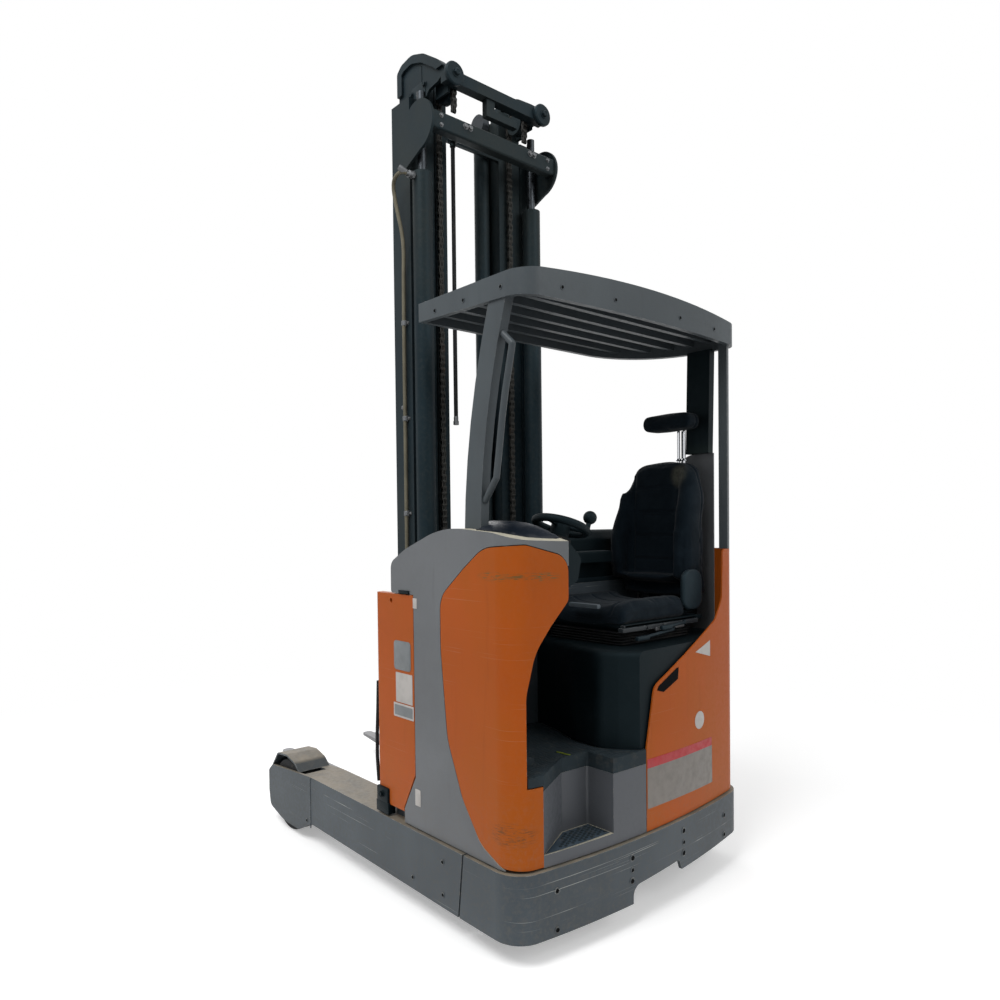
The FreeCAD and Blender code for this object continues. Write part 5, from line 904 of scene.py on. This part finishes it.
def mast_fasteners():
    """Bolts on the mast's cross-bars, stiles and head, bosses on the head bar's ends, and the forks' hooks."""
    outer = Shape()
    for y in (-0.215, -0.19, 0.15, 0.175):
        outer.bolt((CROSS_BAR_X, y, 3.046), (-1, 0, 0), 0.008)
    for y in (-0.30, 0.30):
        for z in (3.012, 3.050):
            outer.bolt((CROSS_BAR_X, y, z), (-1, 0, 0), 0.006)
    for side in (1, -1):
        for z in (0.40, 1.15, 1.90):
            hit = tree("outer_mast").ray_cast(Vector((-0.150, side * 0.6, z)), Vector((0, -side, 0)))[0]
            outer.bolt(hit, (0, side, 0), 0.007)
    outer.piece("outer_mast_bolts", "steel", ZINC, body="mast_outer")
    head = Shape()
    for side in (1, -1):
        head.bolt((-0.4172, side * HEAD_BAR_Y, HEAD_BAR_Z), (-1, 0, 0), 0.012)
    for side in (1, -1):
        for x, z in ((-0.15, 3.235), (-0.24, 3.245)):
            hit = tree("middle_mast").ray_cast(Vector((x, side * 0.6, z)), Vector((0, -side, 0)))[0]
            if hit is not None:
                head.bolt(hit, (0, side, 0), 0.009)
    head.piece("mast_head_bolts", "mast_black", body="mast_middle")
    boss = Shape()
    for side in (1, -1):
        boss.lathe([(0.046, 0), (0.047, 0.004), (0.047, 0.014), (0.042, 0.019), (0.020, 0.0205)],
                   (-0.3968, side * HEAD_BAR_Y, HEAD_BAR_Z), (-1, 0, 0), 32)
    boss.left_plate(0.2745, (0.140, 0.245, 3.168, 3.262), 0.02, 0.003, 0.0008)
    boss.piece("head_bar_bosses", "mast_black", body="mast_middle")
    fork = Shape()
    for y in (-0.262, 0.262):
        for z0, z1 in ((0.596, 0.624), (0.488, 0.514)):
            fork.block((-0.012, y - 0.045, z0), (0.0535, y + 0.045, z1), 0.004)
    for y in (-0.30, -0.10, 0.0, 0.10, 0.30):
        fork.bolt((0.0142, y, 0.556), (1, 0, 0), 0.009)
        fork.bolt((0.0142, y, 0.216), (1, 0, 0), 0.009)
    fork.piece("fork_hooks", "steel", body="fork_body")


# ---------------------------------------------------------------- body details
def sunk_screw(screws, sockets, node, start, direction, r):
    """Socket screw in a countersunk seat, where a ray meets a CAD node; its socket is a filler for painted shade."""
    hit, normal = on_surface(node, start, direction)
    centre = hit + normal * 0.0003
    screws.lathe([(r, 0.0), (r * 1.02, 0.0015), (r * 0.72, 0.0016), (r * 0.66, -0.002)], centre, normal)
    sockets.lathe([(r * 0.66, -0.001), (r * 0.66, 0.0012), (r * 0.5, 0.0018), (r * 0.3, 0.0012)], centre, normal, 6)


def chassis_details():
    """Screws in the skirt and the load arms, and the arms' weld beads."""
    screws, sockets = Shape(), Shape()
    for y, z, r in ((0.133, 0.242, 0.013), (0.133, 0.200, 0.010), (0.135, 0.162, 0.013), (-0.165, 0.256, 0.013),
                    (-0.165, 0.213, 0.010), (-0.165, 0.173, 0.013), (0.473, 0.227, 0.011), (0.473, 0.101, 0.011),
                    (-0.473, 0.227, 0.011), (-0.473, 0.150, 0.011)):
        sunk_screw(screws, sockets, "chassis_skirt", (-3, y, z), (1, 0, 0), r)
    for side, arm in ((1, "load_arm_left"), (-1, "load_arm_right")):
        for x, z in ((-0.781, 0.126), (-0.781, 0.240), (-0.60, 0.126), (0.22, 0.10)):
            sunk_screw(screws, sockets, arm, (x, side * 2, z), (0, -side, 0), 0.009)
    screws.piece("skirt_screws", "chassis_grey")
    # sockets: dark fillers of painted shade in the screw heads
    sockets.piece("skirt_sockets", "cab_black", HOLE_SHADE)
    weld = Shape()
    for side in (1, -1):
        weld.tube([(0.185 + RNG.uniform(-0.0015, 0.0015), side * 0.6352, 0.075 + i / 39 * 0.222) for i in range(40)],
                  0.0028, 6)
    weld.piece("arm_weld_beads", "chassis_grey", smooth_angle=60)


LOAD_AXLE_X, LOAD_AXLE_Z = 0.420, 0.160


def axle_caps():
    """Load wheel hubs with a cover, and nuts around it."""
    for side, label in ((1, "left"), (-1, "right")):
        shape = Shape()
        low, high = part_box("load_hub_" + label)
        y = high.y if side > 0 else low.y
        shape.lathe([(0.070, -0.004), (0.072, 0.002), (0.060, 0.0035), (0.034, 0.0040), (0.030, 0.0045),
                     (0.018, 0.0046)], (LOAD_AXLE_X, y, LOAD_AXLE_Z), (0, side, 0), 40)
        for k in range(8):
            a = math.tau * k / 8
            shape.bolt((LOAD_AXLE_X + 0.048 * math.cos(a), y + side * 0.0035, LOAD_AXLE_Z + 0.048 * math.sin(a)),
                       (0, side, 0), 0.0035, False)
        shape.piece("load_hub_cover_" + label, "steel", ZINC, body="load_wheel_" + label)


def rear_details():
    """Blank plates, stripe and a sheet of painted shade for the latch's recess on the right rear panel."""
    rear_sheet("rear_stripe", [(0.036, 0.526), (0.036, 0.561), (-0.393, 0.557), (-0.393, 0.522)], 0.0009, STRIPE_RED)
    rear_sheet("rear_blank_plate", [(0.036, 0.385), (0.036, 0.5285), (-0.395, 0.5245), (-0.397, 0.378)], 0.0011,
               LABEL_PALE)
    rear_sheet("rear_label_triangle", [(-0.272, 0.905), (-0.384, 0.938), (-0.384, 0.876)], 0.0012, LABEL_WHITE)
    rear_sheet("rear_label_round", disc(-0.300, 0.641, 0.034), 0.0012, LABEL_WHITE)
    # the latch's recess is a thin sheet of painted shade
    rear_sheet("rear_latch_shade", [(-0.022, 0.798), (-0.060, 0.787), (-0.150, 0.822), (-0.155, 0.864),
                                     (-0.140, 0.862), (-0.030, 0.812)], 0.0012, HOLE_SHADE)


COVER_FACE = 0.6231                      # left face of the battery cover and the hood


def left_details():
    """Grip plate, blank labels, lock and edge seal on the left side."""
    grip = Shape()
    grip.left_plate(COVER_FACE, (0.480, 0.588, 0.866, 0.974), 0.014, 0.0016, 0.0006)
    grip.left_plate(COVER_FACE, (0.486, 0.582, 0.872, 0.968), 0.012, 0.0026, 0.0010)
    grip.piece("cover_grip_plate", "panel_grey", LABEL_GREY)
    label = Shape()
    for place in ((0.490, 0.597, 0.746, 0.856), (0.474, 0.603, 0.690, 0.742), (0.6065, 0.631, 1.100, 1.137),
                  (0.606, 0.639, 0.388, 0.448)):
        label.left_plate(COVER_FACE, place, 0.003, 0.0012, 0.0004)
    label.piece("side_blank_labels", "panel_grey", LABEL_WHITE)
    inset = Shape()
    inset.left_plate(COVER_FACE, (0.480, 0.597, 0.697, 0.735), 0.002, 0.0018, 0.0004)
    inset.piece("side_label_inset", "panel_grey", LABEL_GREY)
    lock = Shape()
    lock.block((-0.440, 0.600, 0.306), (-0.356, 0.6335, 0.350), 0.004)
    lock.block((-0.436, 0.612, 0.346), (-0.360, 0.6335, 0.404), 0.006)
    lock.bolt((-0.398, 0.6335, 0.378), (0, 1, 0), 0.009)
    lock.block((-0.585, 0.619, 1.1495), (-0.520, 0.6285, 1.1615), 0.002)
    lock.piece("battery_lock", "cab_black")
    flap = Shape()
    flap.tube([(-0.349, 0.612, 0.800), (-0.342, 0.611, 0.700), (-0.332, 0.610, 0.590), (-0.331, 0.610, 0.500),
               (-0.342, 0.611, 0.410)], 0.007, 10)
    flap.piece("battery_edge_seal", "mat_rubber", RUBBER_DARK, smooth_angle=60)


def step_and_mat():
    """Studded tread plate in the step, the mat's ribs and the mark on it."""
    z = 0.3475                               # top of the tread plate
    plate = Shape()
    plate.slab([(-1.149, 0.500), (-1.066, 0.337), (-1.074, 0.219), (-1.174, 0.219), (-1.170, 0.300), (-1.163, 0.390),
                (-1.154, 0.470)], 0.3451, z, 0.0008)
    plate.piece("step_tread_plate", "mat_rubber", TREAD_BLUE)
    tread = Shape()
    for i in range(8):
        for j in range(20):
            x = -1.176 + i * 0.0165 + (0.008 if j % 2 else 0.0)
            y = 0.228 + j * 0.0165
            inside = x < -1.080 - max(0.0, (y - 0.335)) * 0.53 and x > -1.170 + (y - 0.22) * 0.09
            if inside and on_floor("cab_floor", x, y, z):
                tread.lathe([(0.0062, 0), (0.0058, 0.0022), (0.0036, 0.0030), (0.0030, 0.0012)],
                            (x, y, z - 0.0004), (0, 0, 1), 10)
    tread.piece("step_tread_studs", "mat_rubber")
    ribs = Shape()
    low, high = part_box("floor_mat")
    count = 34
    for i in range(count):
        x = low.x + 0.03 + (high.x - low.x - 0.05) * i / (count - 1)
        start = None
        y = low.y
        while y <= high.y + 0.006:
            solid = y <= high.y and on_floor("floor_mat", x, y, high.z)
            if solid and start is None:
                start = y
            if not solid and start is not None:
                if y - start > 0.03:
                    ribs.block((x - 0.0035, start + 0.008, high.z - 0.001), (x + 0.0035, y - 0.012, high.z + 0.0018),
                               0.0012, segments=1)
                start = None
            y += 0.006
    ribs.piece("floor_mat_ribs", "mat_rubber")
    mark = Shape()
    mark.slab(rounded(-0.030, 0.030, -0.005, 0.005, 0.004), 0.0010, 0.0024, 0.0004,
              Matrix.Translation((-1.030, 0.293, 0.599)) @ Matrix.Rotation(math.radians(6), 4, "Z"))
    mark.piece("mat_mark", "mat_rubber", MARK_GREEN)


def on_floor(node, x, y, z):
    """Whether a node's surface lies at height z under a point."""
    hit = tree(node).ray_cast(Vector((x, y, z + 0.05)), Vector((0, 0, -1)))[0]
    return hit is not None and abs(hit.z - z) < 0.003


def cab_details():
    """Display, tray, column boot and the steering wheel's grips."""
    dash = Shape()
    dash.slab(rounded(-0.055, 0.055, -0.035, 0.035, 0.008), -0.004, 0.010, 0.002,
              Matrix.Translation((-0.775, 0.330, 1.3475)))
    dash.piece("display_housing", "cab_black")
    screen = Shape()
    screen.slab(rounded(-0.042, 0.042, -0.024, 0.024, 0.004), 0.0, 0.0012, 0.0004,
                Matrix.Translation((-0.775, 0.330, 1.3576)))
    screen.piece("display_glass", "cab_black", GLASS)
    tray = Shape()
    tray.block((-0.985, 0.040, 1.080), (-0.836, 0.060, 1.097), 0.006)
    tray.piece("seat_front_tray", "cab_black", TRAY_GREY)
    column = Shape()
    centre = Vector((-0.998, 0.262, 1.390))
    axis = Vector((0, -0.342, 0.940)).normalized()
    boot = [(0.062 - 0.004 * k + (0.004 if k % 2 else 0.0), 0.012 * k) for k in range(6)]
    column.lathe(boot, centre - axis * 0.105, axis, 36)
    column.piece("column_boot", "mat_rubber", RUBBER_DARK, smooth_angle=60)
    rim = Shape()
    place = frame_at(centre, axis)
    for k in range(60):
        a = math.tau * k / 60
        p = place @ Vector((0.092 * math.cos(a), 0.092 * math.sin(a), 0))
        q = place @ Vector((0.0795 * math.cos(a), 0.0795 * math.sin(a), -0.0035))
        outward = (p - q).normalized()
        rim.tube([q - outward * 0.001, q + outward * 0.0022], 0.0016, 5)
    rim.lathe([(0.034, 0.0), (0.033, 0.006), (0.028, 0.009), (0.010, 0.010)], centre + axis * 0.0065, axis, 36)
    rim.piece("wheel_grips", "cab_black", body="steering_wheel_body")


def top_cover():
    """Dark moulded cover lying over the console's top beside the pillar, slightly domed."""
    edge = [(-1.020, 0.598), (-1.075, 0.575), (-1.112, 0.535), (-1.130, 0.480), (-1.138, 0.425), (-1.132, 0.406),
            (-0.800, 0.406), (-0.800, 0.500), (-0.930, 0.536), (-0.940, 0.600)]
    part = bmesh.new()
    part.faces.new([part.verts.new((x, y, 0)) for x, y in edge])
    for k in range(1, 26):
        part_cut(part, (-1.14 + 0.44 * k / 26, 0, 0), (1, 0, 0))
    for k in range(1, 12):
        part_cut(part, (0, 0.40 + 0.21 * k / 12, 0), (0, 1, 0))
    outline = [Vector((x, y, 0)) for x, y in edge]
    for v in part.verts:
        hit = tree("console_hood").ray_cast(Vector((v.co.x, v.co.y, 2)), Vector((0, 0, -1)))[0]
        inner = min(distance_to(v.co, a, b) for a, b in zip(outline, outline[1:] + outline[:1]))
        rise = min(1.0, inner / 0.09)
        v.co.z = (hit.z if hit is not None and hit.z > 1.25 else 1.345) + 0.003 + 0.030 * rise * (2 - rise)
    thicken(part, (0, 0, -0.006))
    shape = Shape()
    shape.merge(part)
    shape.piece("console_top_cover", "cab_black", TRIM_BLACK, smooth_angle=50)


def guard_details():
    """Screws along the roof's band."""
    screws, sockets = Shape(), Shape()
    for y in (-0.42, -0.18, 0.18, 0.42):
        sunk_screw(screws, sockets, "guard_roof", (-3, y, 2.150), (1, 0, 0), 0.008)
    for x in (-1.05, -0.86, -0.70):
        sunk_screw(screws, sockets, "guard_roof", (x, 2, 2.150), (0, -1, 0), 0.008)
    screws.piece("guard_screws", "guard_grey")
    # sockets: dark fillers of painted shade in the screw heads
    sockets.piece("guard_sockets", "cab_black", HOLE_SHADE)


# ---------------------------------------------------------------- stage
WORLD_LIGHT = 0.42
FLOOR_LIGHT = 0.35
FLOOR_LIFT = 0.34
FLOOR_HALF = 40.0
FLOOR_FADE = (1.5, 4.2)                  # distances between which the floor turns into plain white
LAMPS = [("key", (-1.2, 4.2, 7.2), (0, 0, 1.2), 4.0, 400),
         ("rear", (-6.5, -1.5, 4.5), (-0.5, 0, 1.2), 4.0, 135),
         ("front", (6.0, -2.0, 5.0), (0, 0, 1.0), 4.0, 90)]      # name, place, aim, size, power


def stage():
    """Pale floor, white surroundings and three lamps."""
    mesh = bpy.data.meshes.new("floor")
    corners = [(-1, -1), (1, -1), (1, 1), (-1, 1)]
    mesh.from_pydata([(x * FLOOR_HALF, y * FLOOR_HALF, 0) for x, y in corners], [], [(0, 1, 2, 3)])
    floor = bpy.data.objects.new("floor", mesh)
    scene = bpy.context.scene
    scene.collection.objects.link(floor)
    n = Nodes("floor_pale")
    spread = n.add("VectorMath", {0: n.place}, operation="LENGTH").outputs["Value"]
    n.shader.inputs["Base Color"].default_value = (0.86, 0.86, 0.86, 1)
    seen = n.seen()
    glow = n.add("Emission", {"Color": (1, 1, 1, 1), "Strength": n.step(seen, 0.0, 1.0, FLOOR_LIGHT, 1.0)})
    lift = n.add("Emission", {"Color": (1, 1, 1, 1), "Strength": n.step(seen, 0.0, 1.0, 0.0, FLOOR_LIFT)})
    near = n.add("AddShader", {0: n.shader.outputs[0], 1: lift.outputs[0]})
    mixer = n.add("MixShader", {"Fac": n.step(spread, *FLOOR_FADE), 1: near.outputs[0], 2: glow.outputs[0]})
    n.tree.links.new(mixer.outputs[0], n.tree.nodes["Material Output"].inputs["Surface"])
    mesh.materials.append(n.finish(Roughness=0.9, Specular_IOR_Level=0.1))

    scene.world = bpy.data.worlds.new("studio")
    scene.world.use_nodes = True
    scene.world.node_tree.nodes.clear()
    w = Graph(scene.world.node_tree)
    strength = w.add("MapRange", {"Value": w.seen(), "To Min": WORLD_LIGHT, "To Max": 1.0}).outputs["Result"]
    background = w.add("Background", {"Color": (1, 1, 1, 1), "Strength": strength})
    w.add("OutputWorld", {"Surface": background.outputs[0]})

    for name, place, aim, size, power in LAMPS:
        lamp = bpy.data.lights.new(name, "AREA")
        lamp.shape = "SQUARE"
        lamp.size = size
        lamp.energy = power
        holder = bpy.data.objects.new(name, lamp)
        holder.matrix_world = frame_at(place, Vector(place) - Vector(aim))
        scene.collection.objects.link(holder)


HEADING, PITCH, ROLL = (math.radians(a) for a in (-40.93, -1.28, -0.64))
EYE = (-2.88314, 2.192, 1.394)
LENS_MM, LENS_SHIFT = 27.59, (0.0025, 0.0427)


def camera():
    """Camera behind the truck's left rear corner, nearly level, with a shifted lens."""
    forward = Vector((math.cos(PITCH) * math.cos(HEADING), math.cos(PITCH) * math.sin(HEADING), math.sin(PITCH)))
    right = forward.cross(Vector((0, 0, 1))).normalized()
    up = right.cross(forward)
    turned_right = right * math.cos(ROLL) + up * math.sin(ROLL)
    turned_up = -right * math.sin(ROLL) + up * math.cos(ROLL)
    place = Matrix((turned_right, turned_up, -forward)).transposed().to_4x4()
    place.translation = Vector(EYE)
    lens = bpy.data.cameras.new("camera")
    lens.sensor_width = 36
    lens.lens = LENS_MM
    lens.shift_x, lens.shift_y = LENS_SHIFT
    lens.clip_end = 100
    holder = bpy.data.objects.new("camera", lens)
    holder.matrix_world = place
    bpy.context.scene.collection.objects.link(holder)
    bpy.context.scene.camera = holder


bpy.context.scene.view_settings.view_transform = "Standard"
camera()
stage()
dress_frame()
seat()
seat_fittings()
leaf_chains()
hoses()
mast_fasteners()
chassis_details()
axle_caps()
rear_details()
left_details()
step_and_mat()
cab_details()
top_cover()
guard_details()
